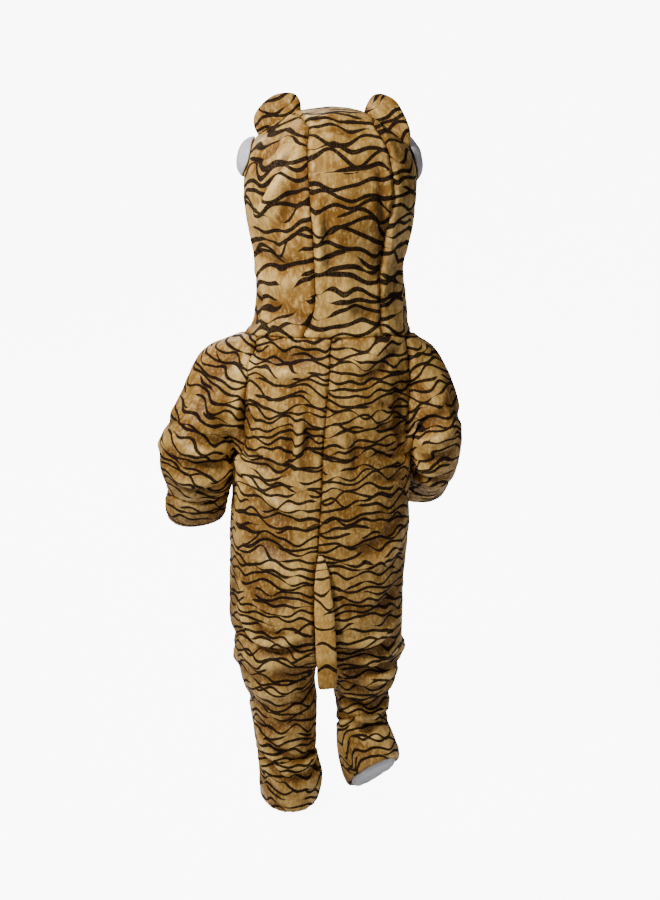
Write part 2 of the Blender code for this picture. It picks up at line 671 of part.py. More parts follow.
def make_ear(surface, line):
    """A padded ear standing on the hood, closed at its base."""
    e = record(EAR_FIELDS, line)
    tree = BVHTree.FromPolygons([tuple(p) for p in surface.points], surface.faces)
    a = Vector(e["inner_end"])
    b = Vector(e["outer_end"])
    middle = a.lerp(b, 0.5)
    along = (b - a).normalized()
    rise_way = Vector(e["upwards"]).normalized()
    _, face_way, _, _ = tree.find_nearest(middle)
    through = along.cross(face_way).normalized()
    width = (b - a).length / 2.0
    skins = []
    verts = []
    for face_side in (1.0, -1.0):
        skin = []
        for row in range(EAR_ROWS + 1):
            t = row / EAR_ROWS
            edge = math.sqrt(max(0.0, 1.0 - (0.86 * t) ** 3.0)) * (1.0 + 0.08 * math.sin(math.pi * t))
            line_ids = []
            for c in range(EAR_COLUMNS + 1):
                s = 2.0 * c / EAR_COLUMNS - 1.0
                pad = e["thickness"] / 2.0 * math.sqrt(max(0.0, 1.0 - s ** 4)) * (1.0 - 0.5 * t ** 2)
                pad = max(0.0012, pad if row < EAR_ROWS else 0.0012)
                flat = middle + along * (s * width * edge) + through * (face_side * pad)
                hit, normal, _, _ = tree.find_nearest(flat)
                base = hit + normal * EAR_GAP
                share = min(1.0, t * 1.2)
                level = middle + along * (s * width * edge) + through * (face_side * pad)
                place = base.lerp(level, share) + rise_way * (e["height"] * t * (1.0 - 0.16 * s * s))
                verts.append(place)
                line_ids.append(len(verts) - 1)
            skin.append(line_ids)
        skins.append(skin)
    triangles = []

    def quad(p, q, r, s):
        triangles.append((p, q, r))
        triangles.append((p, r, s))

    front, rear = skins
    keel = []
    for c in range(EAR_COLUMNS + 1):
        hit, normal, _, _ = tree.find_nearest(verts[front[0][c]].lerp(verts[rear[0][c]], 0.5))
        verts.append(hit + normal * EAR_GAP)
        keel.append(len(verts) - 1)
    for row in range(EAR_ROWS):
        for c in range(EAR_COLUMNS):
            quad(front[row][c], front[row + 1][c], front[row + 1][c + 1], front[row][c + 1])
            quad(rear[row][c], rear[row][c + 1], rear[row + 1][c + 1], rear[row + 1][c])
    for c in range(EAR_COLUMNS):
        quad(front[0][c], front[0][c + 1], keel[c + 1], keel[c])
        quad(keel[c], keel[c + 1], rear[0][c + 1], rear[0][c])
        quad(front[-1][c], rear[-1][c], rear[-1][c + 1], front[-1][c + 1])
    for row in range(EAR_ROWS):
        quad(front[row][0], rear[row][0], rear[row + 1][0], front[row + 1][0])
        quad(front[row][-1], front[row + 1][-1], rear[row + 1][-1], rear[row][-1])
    triangles.append((front[0][0], keel[0], rear[0][0]))
    triangles.append((front[0][-1], rear[0][-1], keel[-1]))
    obj = add_object(e["name"], verts, triangles, tiger(e["name"]))
    outward(obj)
    return obj


def outward(obj):
    """Turn all faces of a closed mesh outwards."""
    bm = bmesh.new()
    bm.from_mesh(obj.data)
    bmesh.ops.recalc_face_normals(bm, faces=bm.faces)
    bm.to_mesh(obj.data)
    bm.free()


def hood_spot(surface, hood, normals, column, row):
    """Place and outward direction on the hood between its grid points."""
    c = math.floor(column)
    r = math.floor(row)
    u = column - c
    v = row - r
    corners = ((c, r, (1 - u) * (1 - v)), (c + 1, r, u * (1 - v)), (c, r + 1, (1 - u) * v), (c + 1, r + 1, u * v))
    place = Vector()
    way = Vector()
    for column_here, row_here, share in corners:
        here = hood[row_here][column_here]
        place += surface.points[here] * share
        way += normals[here] * share
    return place, way.normalized()


def make_pad(surface, hood, normals, line):
    """White padded oval on the hood's side: its underside follows the panel moved out."""
    p = record(PAD_FIELDS, line)
    layers = []
    verts = []
    for height in (0.0, 1.0):
        rings = []
        for ring in range(PAD_RINGS + 1):
            reach = ring / PAD_RINGS
            points = 1 if ring == 0 else PAD_POINTS
            ids = []
            for i in range(points):
                angle = 2.0 * math.pi * i / PAD_POINTS
                column = p["column"] + p["half_columns"] * reach * math.cos(angle)
                row = p["row"] + p["half_rows"] * reach * math.sin(angle)
                place, way = hood_spot(surface, hood, normals, column, row)
                dome = PAD_EDGE + PAD_HEIGHT * math.sqrt(max(0.0, 1.0 - reach ** 2.5))
                verts.append(place + way * (PAD_GAP + height * dome))
                ids.append(len(verts) - 1)
            rings.append(ids)
        layers.append(rings)
    triangles = []
    for rings in layers:
        for i in range(PAD_POINTS):
            j = (i + 1) % PAD_POINTS
            triangles.append((rings[0][0], rings[1][i], rings[1][j]))
            for inner, outer in zip(rings[1:], rings[2:]):
                triangles.append((inner[i], outer[i], outer[j]))
                triangles.append((inner[i], outer[j], inner[j]))
    low, high = layers[0][-1], layers[1][-1]
    for i in range(PAD_POINTS):
        j = (i + 1) % PAD_POINTS
        triangles.append((low[i], low[j], high[j]))
        triangles.append((low[i], high[j], high[i]))
    obj = add_object(p["name"], verts, triangles, white(p["name"]))
    outward(obj)
    return obj


def loft(name, rings, material):
    """Closed solid through rings of equal point count."""
    count = len(rings[0])
    verts = [p for ring in rings for p in ring]
    triangles = []
    for r in range(len(rings) - 1):
        for i in range(count):
            j = (i + 1) % count
            a, b = r * count + i, r * count + j
            c, d = (r + 1) * count + j, (r + 1) * count + i
            triangles.append((a, b, c))
            triangles.append((a, c, d))
    for start in (0, (len(rings) - 1) * count):
        for i in range(1, count - 1):
            triangles.append((start, start + i, start + i + 1))
    obj = add_object(name, verts, triangles, material)
    outward(obj)
    return obj


def make_tail(surface):
    """Padded tail sewn to the centre back and hanging free below the seat."""
    tree = BVHTree.FromPolygons([tuple(p) for p in surface.points], surface.faces)
    rings = []
    hang = 0.0
    for line in TAIL:
        t = record(TAIL_FIELDS, line)
        depth = -1.0
        for dx in (-1.0, -0.5, 0.0, 0.5, 1.0):
            start = Vector((t["x"] + dx * t["half_width"], 0.5, t["z"]))
            hit, _, _, _ = tree.ray_cast(start, Vector((0.0, -1.0, 0.0)))
            if hit is not None and hit.y > 0.05:
                depth = max(depth, hit.y)
        wanted = depth + 0.0009 + t["half_thickness"]
        hang = max(hang, wanted) if depth > 0.0 else hang
        centre = Vector((t["x"], hang, t["z"]))
        ring = []
        for i in range(14):
            angle = 2.0 * math.pi * i / 14
            x = math.copysign(abs(math.cos(angle)) ** 0.8, math.cos(angle)) * t["half_width"]
            y = math.sin(angle) * t["half_thickness"]
            ring.append(centre + Vector((x, y, 0.0)))
        rings.append(ring)
    return loft("tail", rings, tiger("tail"))


def zip_frame(surface, grid, normals, row):
    """Centre-front place, outward and down directions at a row."""
    place = surface.points[grid[row, HALF]]
    lower = surface.points[grid[row + 1, HALF]]
    out = normals[grid[row, HALF]]
    out = Vector((0.0, out.y, out.z)).normalized()
    return place, out, (lower - place).normalized()


def make_zip_tape(surface, grid, normals, side):
    """Woven tape behind the folded edge of one front panel."""
    sign = 1.0 if side == "left" else -1.0
    rings = []
    for row in range(0, ZIP_ROW + 1):
        place, out, _ = zip_frame(surface, grid, normals, row)
        near = 0.0017 if row <= 1 else 0.00018
        depth = WALL + LIE_GAP
        neighbour = surface.points[grid[row, int(sign) * (HALF - 1)]]
        across = (neighbour - place)
        across = across - out * across.dot(out)
        slope = (neighbour - place).dot(out) / max(1e-6, across.length)
        across.normalize()
        if row == 0:
            place = place.lerp(surface.points[grid[1, HALF]], 0.06)
        ring = []
        for off, level in ((near, 0.0), (0.0115, 0.0), (0.0115, -0.0009), (near, -0.0009)):
            shift = slope * off * 0.98
            ring.append(place + across * off + out * (-depth * 1.02 + level + shift))
        rings.append(ring)
    name = "zip_tape_" + side
    return loft(name, rings, plain_material(name, (0.045, 0.035, 0.030), 0.8))


def make_slider(surface, grid, normals):
    """Slider of the zip: two plates joined by a web between the tapes, with a bridge for the pull."""
    place, out, down = zip_frame(surface, grid, normals, 1)
    above, _, _ = zip_frame(surface, grid, normals, 0)
    centre = above.lerp(place, 0.55)
    side = Vector((1.0, 0.0, 0.0))
    down = (down - side * down.dot(side)).normalized()
    out = side.cross(down)
    if out.y > 0.0:
        out = -out
    level = -(WALL + LIE_GAP)
    profile = (
        (-0.0034, level + 0.0022), (0.0034, level + 0.0022), (0.0034, level + 0.0007), (0.0010, level + 0.0007),
        (0.0010, level - 0.0016), (0.0034, level - 0.0016), (0.0034, level - 0.0028), (-0.0034, level - 0.0028),
        (-0.0034, level - 0.0016), (-0.0010, level - 0.0016), (-0.0010, level + 0.0007), (-0.0034, level + 0.0007),
    )
    rings = []
    for step in (-0.0042, 0.0042):
        rings.append([centre + down * step + side * x + out * w for x, w in profile])
    verts = [p for ring in rings for p in ring]
    count = len(profile)
    faces = [list(range(count)), list(range(2 * count - 1, count - 1, -1))]
    faces += [[i, (i + 1) % count, count + (i + 1) % count, count + i] for i in range(count)]
    mesh = bpy.data.meshes.new("zip_slider")
    mesh.from_pydata([tuple(v) for v in verts], [], faces)
    body = bpy.data.objects.new("zip_slider", mesh)
    bpy.context.scene.collection.objects.link(body)
    mesh.materials.append(plain_material("zip_slider_metal", (0.62, 0.60, 0.56), 0.35, 1.0))
    outward(body)
    top = level + 0.0022
    arch = (
        (-0.0032, top - 0.0004), (-0.0032, top + 0.0022), (-0.0020, top + 0.0034), (0.0020, top + 0.0034),
        (0.0032, top + 0.0022), (0.0032, top - 0.0004), (0.0021, top - 0.0004), (0.0021, top + 0.0020),
        (0.0015, top + 0.0024), (-0.0015, top + 0.0024), (-0.0021, top + 0.0020), (-0.0021, top - 0.0004),
    )
    rings = [[centre + down * v + out * w + side * x for v, w in arch] for x in (-0.0009, 0.0009)]
    verts = [p for ring in rings for p in ring]
    faces = [list(range(count)), list(range(2 * count - 1, count - 1, -1))]
    faces += [[i, (i + 1) % count, count + (i + 1) % count, count + i] for i in range(count)]
    mesh = bpy.data.meshes.new("bridge")
    mesh.from_pydata([tuple(v) for v in verts], [], faces)
    bridge = bpy.data.objects.new("bridge", mesh)
    bpy.context.scene.collection.objects.link(bridge)
    outward(bridge)
    join_solids(body, bridge)
    hinge = centre + out * (top + 0.0012) + down * 0.0012
    return hinge, out, down, side


def join_solids(body, tool):
    """Unite two closed solids with the exact Boolean."""
    step = body.modifiers.new("unite", "BOOLEAN")
    step.operation = "UNION"
    step.solver = "EXACT"
    step.object = tool
    bpy.context.view_layer.update()
    depsgraph = bpy.context.evaluated_depsgraph_get()
    united = bpy.data.meshes.new_from_object(body.evaluated_get(depsgraph))
    body.modifiers.clear()
    body.data = united
    bpy.data.objects.remove(tool, do_unlink=True)


def make_pull(frame):
    """Pull tab: a flat plate with a slot, hung on the slider's bridge."""
    hinge, out, down, side = frame
    thick = 0.0006
    outline = ((-0.0032, -0.0006), (0.0032, -0.0006), (0.0040, 0.0060), (0.0034, 0.0220), (0.0022, 0.0240),
               (-0.0022, 0.0240), (-0.0034, 0.0220), (-0.0040, 0.0060))
    slot = ((-0.0017, 0.0006), (0.0017, 0.0006), (0.0020, 0.0052), (0.0016, 0.0062), (0.0008, 0.0066),
            (-0.0008, 0.0066), (-0.0016, 0.0062), (-0.0020, 0.0052))
    count = len(outline)
    verts = []
    for level in (thick, -thick):
        for loop in (outline, slot):
            verts += [hinge + side * x + down * v + out * level for x, v in loop]
    faces = []
    for i in range(count):
        j = (i + 1) % count
        faces.append((i, j, count + j, count + i))
        faces.append((2 * count + i, 3 * count + i, 3 * count + j, 2 * count + j))
        faces.append((i, 2 * count + i, 2 * count + j, j))
        faces.append((count + i, count + j, 3 * count + j, 3 * count + i))
    mesh = bpy.data.meshes.new("zip_pull")
    mesh.from_pydata([tuple(v) for v in verts], [], faces)
    obj = bpy.data.objects.new("zip_pull", mesh)
    bpy.context.scene.collection.objects.link(obj)
    mesh.materials.append(plain_material("zip_pull_metal", (0.62, 0.60, 0.56), 0.35, 1.0))
    outward(obj)


def build_surface():
    surface = Surface()
    grid = make_body(surface)
    fork = make_fork(surface, grid)
    for side in ("left", "right"):
        ankle = make_leg(surface, side, grid, fork)
        make_foot(surface, side, ankle)
        make_sleeve(surface, side, grid)
    hood = make_hood(surface, grid)
    fold(surface)
    return surface, grid, hood


def main():
    for obj in list(bpy.data.objects):
        bpy.data.objects.remove(obj, do_unlink=True)
    surface, grid, hood = build_surface()
    normals = surface.normals()
    zip_points = {grid[row, HALF] for row in range(ZIP_ROW + 1)}

    def gaps(a, b):
        if a in zip_points and b in zip_points:
            return ZIP_HALF_GAP
        return SEAM_HALF_GAP

    for name in sorted(set(surface.panels)):
        sole = name.startswith("sole_")
        verts, triangles = panel_mesh(surface, surface.of(name), normals, SOLE_WALL if sole else WALL, gaps)
        add_object(name, verts, triangles, white(name) if sole else tiger(name))
    for line in EARS:
        make_ear(surface, line)
    for line in PADS:
        make_pad(surface, hood, normals, line)
    for side in ("left", "right"):
        make_zip_tape(surface, grid, normals, side)
    make_tail(surface)
    make_pull(make_slider(surface, grid, normals))


main()
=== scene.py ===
"""Dressed model of a child's tiger costume: creased plush panels, padded ears, side pads and tail, and a zip.

Units are metres in the costume's own frame: the front faces -Y, the wearer's left is +X and Z is up.
The skins of the cloth solids are joined into one surface, which is rounded, creased and cut up again.
"""
import math

import bmesh
import bpy
import numpy as np
from bpy.props import FloatProperty, FloatVectorProperty, IntProperty, PointerProperty
from mathutils import Matrix, Vector, kdtree, noise
from mathutils.bvhtree import BVHTree


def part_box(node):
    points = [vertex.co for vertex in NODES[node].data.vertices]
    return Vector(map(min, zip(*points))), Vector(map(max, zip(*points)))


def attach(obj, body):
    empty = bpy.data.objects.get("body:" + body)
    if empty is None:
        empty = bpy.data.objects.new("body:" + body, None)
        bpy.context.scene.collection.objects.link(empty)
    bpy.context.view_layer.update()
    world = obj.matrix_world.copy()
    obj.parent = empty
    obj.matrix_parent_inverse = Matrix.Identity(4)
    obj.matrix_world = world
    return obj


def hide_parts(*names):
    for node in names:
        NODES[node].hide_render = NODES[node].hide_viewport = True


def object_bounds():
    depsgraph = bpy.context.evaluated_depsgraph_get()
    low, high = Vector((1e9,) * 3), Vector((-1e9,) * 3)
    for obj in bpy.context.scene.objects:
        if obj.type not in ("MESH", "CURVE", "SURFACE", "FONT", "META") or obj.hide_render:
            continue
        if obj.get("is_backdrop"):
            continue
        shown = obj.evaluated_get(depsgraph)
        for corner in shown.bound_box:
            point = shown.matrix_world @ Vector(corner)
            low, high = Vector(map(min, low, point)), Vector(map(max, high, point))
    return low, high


bl_info = {
    "name": "Tiger costume",
    "version": (1, 0, 0),
    "blender": (4, 5, 0),
    "location": "3D View > Sidebar > Costume",
    "description": "Builds the plush, trims, zip and studio of a child's tiger costume",
    "category": "Object",
}

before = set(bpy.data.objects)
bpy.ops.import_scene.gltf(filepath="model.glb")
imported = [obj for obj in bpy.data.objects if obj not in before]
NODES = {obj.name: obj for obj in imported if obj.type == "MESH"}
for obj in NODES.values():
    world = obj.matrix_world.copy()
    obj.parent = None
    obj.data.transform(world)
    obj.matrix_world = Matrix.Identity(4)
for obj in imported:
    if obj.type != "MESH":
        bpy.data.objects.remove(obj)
SIZES = {"cad": [list(corner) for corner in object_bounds()]}

WALL_LENGTHS = (0.0020, 0.0025)   # of the cloth and of the soles
WALL_SLACK = 0.000012
SAME_PLACE = 0.00001              # points nearer than this are one point
SKIN_GAP = 0.0009                 # skins nearer than this are sewn together
SKIN_QUADS = math.radians(80.0)   # largest bend between two triangles that become one face
PADDED_QUADS = math.radians(60.0)
COLOUR = {"subtype": "COLOR", "size": 3, "min": 0.0, "max": 1.0}

# One row per cloth panel: its cut in metres (width, length, and share of that rectangle which is cloth), how
# the striped cloth is turned on it in degrees (leaned to the side, tipped to the back), how large its print
# is, and where the print starts.
PANEL_FIELDS = (
    "node", "width", "length", "share", "lean", "tip", "print_size", "start_across", "start_along")
PANELS = (
    ("back_left", 0.22, 0.71, 0.72, 3.0, 0.0, 0.91, 0.00, 0.004),
    ("back_right", 0.21, 0.68, 0.74, -2.0, 0.0, 0.91, 0.31, 0.011),
    ("front_left", 0.22, 0.70, 0.73, -3.0, 0.0, 0.91, 0.57, 0.002),
    ("front_right", 0.21, 0.67, 0.76, 4.0, 0.0, 0.91, 0.83, 0.013),
    ("hood_left", 0.25, 0.33, 0.98, -14.0, 0.0, 1.42, 1.10, 0.006),
    ("hood_right", 0.24, 0.33, 0.96, 8.0, 0.0, 1.34, 1.37, 0.001),
    ("hood_strip", 0.12, 0.47, 0.89, 2.0, 0.0, 1.40, 1.61, 0.009),
    ("sleeve_left", 0.34, 0.28, 0.80, 26.0, 8.0, 0.95, 1.90, 0.003),
    ("sleeve_right", 0.33, 0.26, 0.81, -20.0, -14.0, 0.95, 2.20, 0.012),
    ("mitt_back_left", 0.13, 0.10, 0.73, 6.0, 18.0, 0.95, 2.40, 0.008),
    ("mitt_back_right", 0.12, 0.10, 0.75, -10.0, 40.0, 0.95, 2.60, 0.005),
    ("mitt_palm_left", 0.13, 0.10, 0.72, 4.0, 18.0, 0.95, 2.80, 0.000),
    ("mitt_palm_right", 0.12, 0.10, 0.76, 0.0, 40.0, 0.95, 3.00, 0.010),
    ("bootie_left", 0.38, 0.12, 0.80, 6.0, -4.0, 0.95, 3.20, 0.007),
    ("bootie_right", 0.36, 0.12, 0.79, -16.0, -30.0, 0.95, 3.40, 0.002),
    ("sole_left", 0.10, 0.18, 0.61, 0.0, 0.0, 0.95, 3.60, 0.0),
    ("sole_right", 0.09, 0.17, 0.62, 0.0, 0.0, 0.95, 3.80, 0.0),
)
WHITE = ("sole_left", "sole_right")
CROWN_START = 0.235      # above this height the print on the hood's strip follows its bend over the crown
CROWN_RADIUS = 0.085
CROWN_DEPTH = 0.09
HOOD_MIDDLE = (0.000, 0.000, 0.200)
EAR_ROOT = 0.026         # the part of an ear, from the hood outwards, that is drawn into the seam
EAR_SINK = 0.0065

# Creases listed by the side that their rays come from. Each row: half width and depth, then the points
# that it runs over, as (x, z), or as (y, z) from the wearer's left or right. All are in millimetres, and a
# depth below 0 is a trough.
CREASES = {
    "back": (
        # Hood, with its diagonal fold first and its right edge last.
        (8.5, 5, (30, 263), (52, 234), (78, 190), (98, 150)),
        (8, -4.2, (46, 258), (66, 226), (86, 186)),
        (9, -3.4, (22, 240), (43, 196), (62, 150), (72, 112)),
        (7, -3.4, (50, 290), (68, 262), (94, 240)),
        (6, 3.4, (9, 176), (4, 150), (2, 112)),
        (6, -2.6, (-8, 186), (-10, 140), (-12, 100)),
        (10, 2.4, (-40, 110), (-32, 70), (-36, 30)),
        (8.5, -3.4, (92, 118), (66, 106), (30, 112)),
        (9.5, 3.2, (92, 86), (62, 76), (26, 88)),
        (8, -3, (88, 52), (62, 44), (30, 34), (12, 20)),
        (9, -2.8, (-34, 50), (-62, 36), (-84, 22)),
        (5, -2, (16, 300), (-10, 304), (-40, 296)),
        (5, -2, (18, 286), (-16, 288), (-46, 280)),
        (7, -3.6, (-78, 240), (-83, 190), (-84, 140), (-78, 90)),
        (9, 3, (-94, 170), (-92, 120), (-86, 70)),
        # Yoke and left shoulder blade.
        (8.5, -4, (98, -14), (72, -26), (36, -22), (6, -16)),
        (8, 3.4, (94, -36), (66, -46), (30, -42)),
        (8.5, -3.4, (-100, -18), (-78, -46), (-46, -58)),
        (8.5, 3.4, (-88, -4), (-62, -24), (-28, -28)),
        (8, 4, (103, -28), (97, -70), (104, -110)),
        # Armpits and waist.
        (7.5, -6.2, (106, -82), (108, -124), (118, -166)),
        (7, -5, (112, -150), (90, -176), (60, -184)),
        (8, 3.6, (118, -186), (92, -214), (60, -236), (30, -242)),
        (8, -3.6, (114, -204), (84, -238), (48, -258)),
        (7, -5.2, (-104, -70), (-108, -120), (-112, -166)),
        # Gathers beside the centre seam.
        (5.8, 4.2, (34, -92), (31, -130), (36, -168), (30, -206)),
        (5.5, -3.6, (46, -104), (45, -150), (48, -192)),
        (5.5, -3, (20, -90), (18, -136), (22, -180)),
        (7.5, 2.6, (-24, -118), (-28, -160), (-20, -204)),
        (7, -2.4, (-44, -112), (-50, -160), (-44, -210)),
        # Ripples down the right side.
        (5, -2.8, (-84, -88), (-96, -96), (-108, -94)),
        (5, -2.8, (-82, -120), (-96, -128), (-108, -126)),
        (5, -3, (-80, -160), (-94, -170), (-110, -166)),
        (5, -2.8, (-78, -198), (-96, -204), (-112, -196)),
        # Hips and seat.
        (10, -3, (114, -262), (82, -292), (40, -300)),
        (10, 2.8, (116, -290), (80, -322), (34, -330)),
        (10, -2.8, (-112, -262), (-76, -300), (-36, -296)),
        (9, 2.6, (-114, -292), (-84, -322), (-46, -326)),
        (9.5, -2.8, (116, -352), (80, -378), (30, -366)),
        (9, -3, (-116, -356), (-80, -390), (-34, -384)),
        (11, -3.4, (10, -318), (4, -370), (0, -420), (-2, -466)),
        # Left leg, with the fold across its thigh first.
        (6.2, 5.8, (118, -398), (104, -424), (90, -440), (62, -440), (30, -424)),
        (6.8, -5.2, (118, -424), (98, -448), (66, -454), (24, -442)),
        (6, -3.6, (104, -404), (86, -424), (58, -424)),
        (9, 2.8, (108, -476), (70, -474), (22, -462)),
        (8, -3, (104, -506), (72, -498), (26, -492)),
        (8.5, 2.6, (100, -530), (66, -520), (20, -514)),
        (8, -2.6, (100, -552), (60, -546), (16, -534)),
        (8.5, -2.6, (94, -586), (54, -574), (14, -570)),
        # Right leg, bent back at the knee.
        (7, 4.2, (-116, -404), (-100, -428), (-60, -440), (-20, -432)),
        (7, -4.6, (-118, -428), (-98, -448), (-60, -458), (-18, -450)),
        (7.5, 5.8, (-118, -450), (-100, -468), (-72, -476)),
        (6, -6, (-118, -472), (-98, -486), (-66, -492), (-32, -486)),
        (7, 5, (-114, -492), (-94, -504), (-62, -508)),
        (6, -5, (-110, -512), (-88, -522), (-48, -520)),
        (6, -3.4, (-92, -448), (-86, -470), (-94, -494)),
        (7, 3.2, (-102, -532), (-70, -540), (-30, -532)),
        (6.5, -3.4, (-98, -552), (-64, -558), (-28, -548)),
        (6, 3.6, (-96, -566), (-64, -574), (-28, -564)),
        (5.5, -4.2, (-94, -580), (-66, -588), (-26, -578)),
        (6, 3, (-88, -596), (-62, -604), (-22, -592)),
        # Left ankle.
        (6.2, 5.2, (94, -602), (80, -626), (62, -648), (50, -660)),
        (5.8, -5, (90, -622), (74, -646), (54, -668)),
        (6, 4, (94, -636), (78, -660), (60, -678)),
        (6, -4.4, (82, -606), (60, -624), (36, -634), (14, -630)),
        (6.5, 3.8, (60, -640), (34, -650), (10, -640)),
        (6, -3.8, (50, -664), (28, -666), (8, -656)),
        # Left sleeve.
        (8.5, 4.2, (118, -52), (120, -90), (130, -126)),
        (7, -4.2, (126, -150), (150, -150), (176, -138), (200, -116)),
        (7, -4.6, (122, -172), (150, -182), (184, -182), (214, -168)),
        (7.5, 3.6, (126, -162), (152, -166), (184, -160), (208, -142)),
        (7, 4, (124, -190), (154, -206), (190, -210), (220, -196)),
        (6.5, -4, (134, -210), (166, -224), (200, -222)),
        (8, -2.8, (118, -24), (136, -40), (160, -72), (176, -110)),
        # Right sleeve.
        (7, -4, (-118, -130), (-140, -128), (-164, -112), (-186, -90)),
        (7, 3.4, (-118, -148), (-142, -150), (-170, -140), (-192, -122)),
        (7, -4, (-120, -170), (-146, -176), (-172, -170), (-194, -154)),
        (7, 3.4, (-122, -190), (-148, -198), (-176, -194)),
        (6.5, -3.6, (-130, -208), (-152, -214), (-178, -210)),
        (7, -3.4, (-116, -60), (-136, -74), (-152, -98)),
    ),
    "front": (
        # Neck and armpits.
        (8.5, -3.4, (20, -44), (52, -36), (84, -22)),
        (8.5, -3.4, (-36, -46), (-66, -36), (-94, -26)),
        (8, -5, (102, -66), (106, -116), (112, -166)),
        (8, -5, (-104, -66), (-108, -116), (-114, -166)),
        (8.5, 3.4, (90, -50), (90, -96), (98, -140)),
        (8.5, 3.4, (-92, -54), (-94, -100), (-100, -144)),
        # Waist.
        (8.5, -3.2, (110, -184), (76, -214), (36, -226), (14, -222)),
        (8.5, -3.2, (-112, -180), (-80, -204), (-40, -214), (-18, -208)),
        (9, 2.8, (112, -212), (76, -244), (30, -256)),
        (9, 2.8, (-112, -206), (-76, -236), (-30, -246)),
        # Ripples beside the zip.
        (5.5, -2.6, (12, -90), (26, -94), (44, -90)),
        (5.5, -2.6, (14, -150), (30, -156), (52, -150)),
        (5.5, -2.6, (-20, -118), (-34, -124), (-52, -118)),
        (5.5, -2.8, (-12, -182), (-30, -188), (-50, -180)),
        (6, -2.8, (18, -286), (36, -292), (58, -284)),
        (6, -2.8, (-8, -300), (-28, -308), (-52, -298)),
        # Belly and lap.
        (10, -3, (112, -300), (72, -330), (26, -344)),
        (10, -3, (-104, -296), (-66, -330), (-18, -348)),
        (9, 3.4, (114, -360), (76, -388), (24, -402)),
        (9, 3.4, (-108, -356), (-66, -388), (-14, -404)),
        (8, -4.6, (116, -392), (76, -424), (26, -452)),
        (8, -4.6, (-110, -390), (-70, -424), (-18, -452)),
        # Left leg.
        (8, -3.4, (110, -486), (66, -500), (22, -490)),
        (8.5, 3.4, (106, -514), (64, -524), (20, -514)),
        (8, -3.6, (100, -560), (58, -572), (16, -562)),
        (7, 3.6, (92, -622), (54, -632), (14, -622)),
        (6.5, -4, (92, -640), (52, -650), (12, -640)),
        # Right leg.
        (7.5, -3.8, (-108, -470), (-62, -484), (-18, -474)),
        (8, 3.6, (-102, -496), (-62, -508), (-18, -496)),
        (7, -4, (-98, -528), (-62, -538), (-24, -528)),
        (6.5, 3.6, (-94, -560), (-58, -570), (-22, -560)),
        (6, -4, (-90, -580), (-54, -590), (-18, -580)),
        # Left sleeve.
        (7, -4.2, (124, -140), (152, -146), (184, -136), (210, -112)),
        (7, 3.6, (124, -158), (156, -168), (190, -160), (216, -140)),
        (7, -4.4, (134, -180), (166, -190), (200, -182), (224, -166)),
        (6.5, 3.4, (140, -202), (172, -212), (206, -204)),
        # Right sleeve.
        (7, -4.2, (-118, -130), (-146, -136), (-172, -126), (-194, -106)),
        (7, 3.6, (-120, -150), (-148, -158), (-176, -150), (-196, -132)),
        (7, -4.2, (-124, -178), (-150, -186), (-178, -180)),
    ),
    "left": (
        # Hood, sleeve, thigh and shin, from the top down.
        (8, -3, (-60, 30), (-30, 70), (-10, 120), (-20, 170)),
        (8, 2.8, (50, 20), (30, 60), (20, 110), (34, 160)),
        (8, -4, (50, -120), (20, -130), (-20, -124), (-40, -104)),
        (8, 3.4, (60, -150), (20, -162), (-20, -156)),
        (8.5, -3.4, (60, -430), (10, -452), (-50, -438)),
        (8.5, 3.4, (60, -470), (10, -490), (-50, -478)),
        (8, -3.6, (50, -534), (6, -552), (-44, -540)),
    ),
    "right": (
        # Hood, sleeve, knee and shin, from the top down.
        (8, -3, (-60, 30), (-34, 80), (-20, 130), (-34, 180)),
        (8, 3, (46, 26), (30, 70), (20, 120), (30, 170)),
        (8, -4, (50, -112), (10, -122), (-30, -112)),
        (8.5, 3.8, (50, -462), (6, -476), (-50, -462)),
        (8, -4.2, (50, -486), (0, -500), (-50, -486)),
        (8, -3.6, (46, -540), (0, -552), (-46, -542)),
    ),
}
# Places where sleeve and trunk swell against each other: centre, radius and how far both surfaces move out.
BULGES = (
    ((0.126, 0.000, -0.168), 0.052, 0.0080),
    ((-0.114, 0.000, -0.146), 0.036, 0.0076),
)
MILLIMETRE = 0.001
CREASE_REACH = 2.6            # half widths that a crease is felt over
CREASE_LIMIT = 0.0066         # no crease rises or sinks further than this
CREASE_STEPS = 5              # straight pieces between two of a crease's points
CREASE_END = 0.10             # share of the rise and fall that is left out at each end
CREASE_TAPER = 0.8
CREASE_SWING = 0.35           # how uneven its depth is along it
CREASE_WAVES = 9.0
RAY_START = 0.6

# Soft unevenness of the cloth: height, size, how many times closer it lies up and down, and where it starts.
UNEVEN = (
    (0.0016, 0.052, 1.0, (None, 0.3, 0.7)),
    (0.0009, 0.021, 1.6, (0.9, None, 0.2)),
)
EDGE_CALM = 0.014             # nearer than this to an open edge the cloth lies flatter
PUCKER_HEIGHT = 0.0013        # small ripples along the seams
PUCKER_SIZE = 0.0075
PUCKER_REACH = 0.012
SEAM_ROLL = 0.0008            # the cloth rises this much beside a seam
SEAM_ROLL_PLACE = 0.0075
SEAM_ROLL_WIDTH = 0.0045
SEAM_WIDTH = 0.0034
SAG = 0.0006                  # loose places hang this much lower
SAG_SIZE = 0.06
FOLD_HEIGHT = 0.0060          # a ridge this high gets the full painted highlight, a trough this deep the full painted shade
TAIL_SHADE_LENGTH = 0.052             # length of the tail's lower end that is painted in shade
TAIL_FADE = 0.014
# strength of the painted shade on the tail's end, as a share of a full trough
TAIL_SHADE_DEPTH = 0.62

# Padded pieces: rounding, swelling against the shrinking that it brings, and unevenness.
PADDED_LEVELS = 3
PADDED_SWELL = 0.0004
PADDED_UNEVEN = 0.0009
PADDED_UNEVEN_SIZE = 0.016

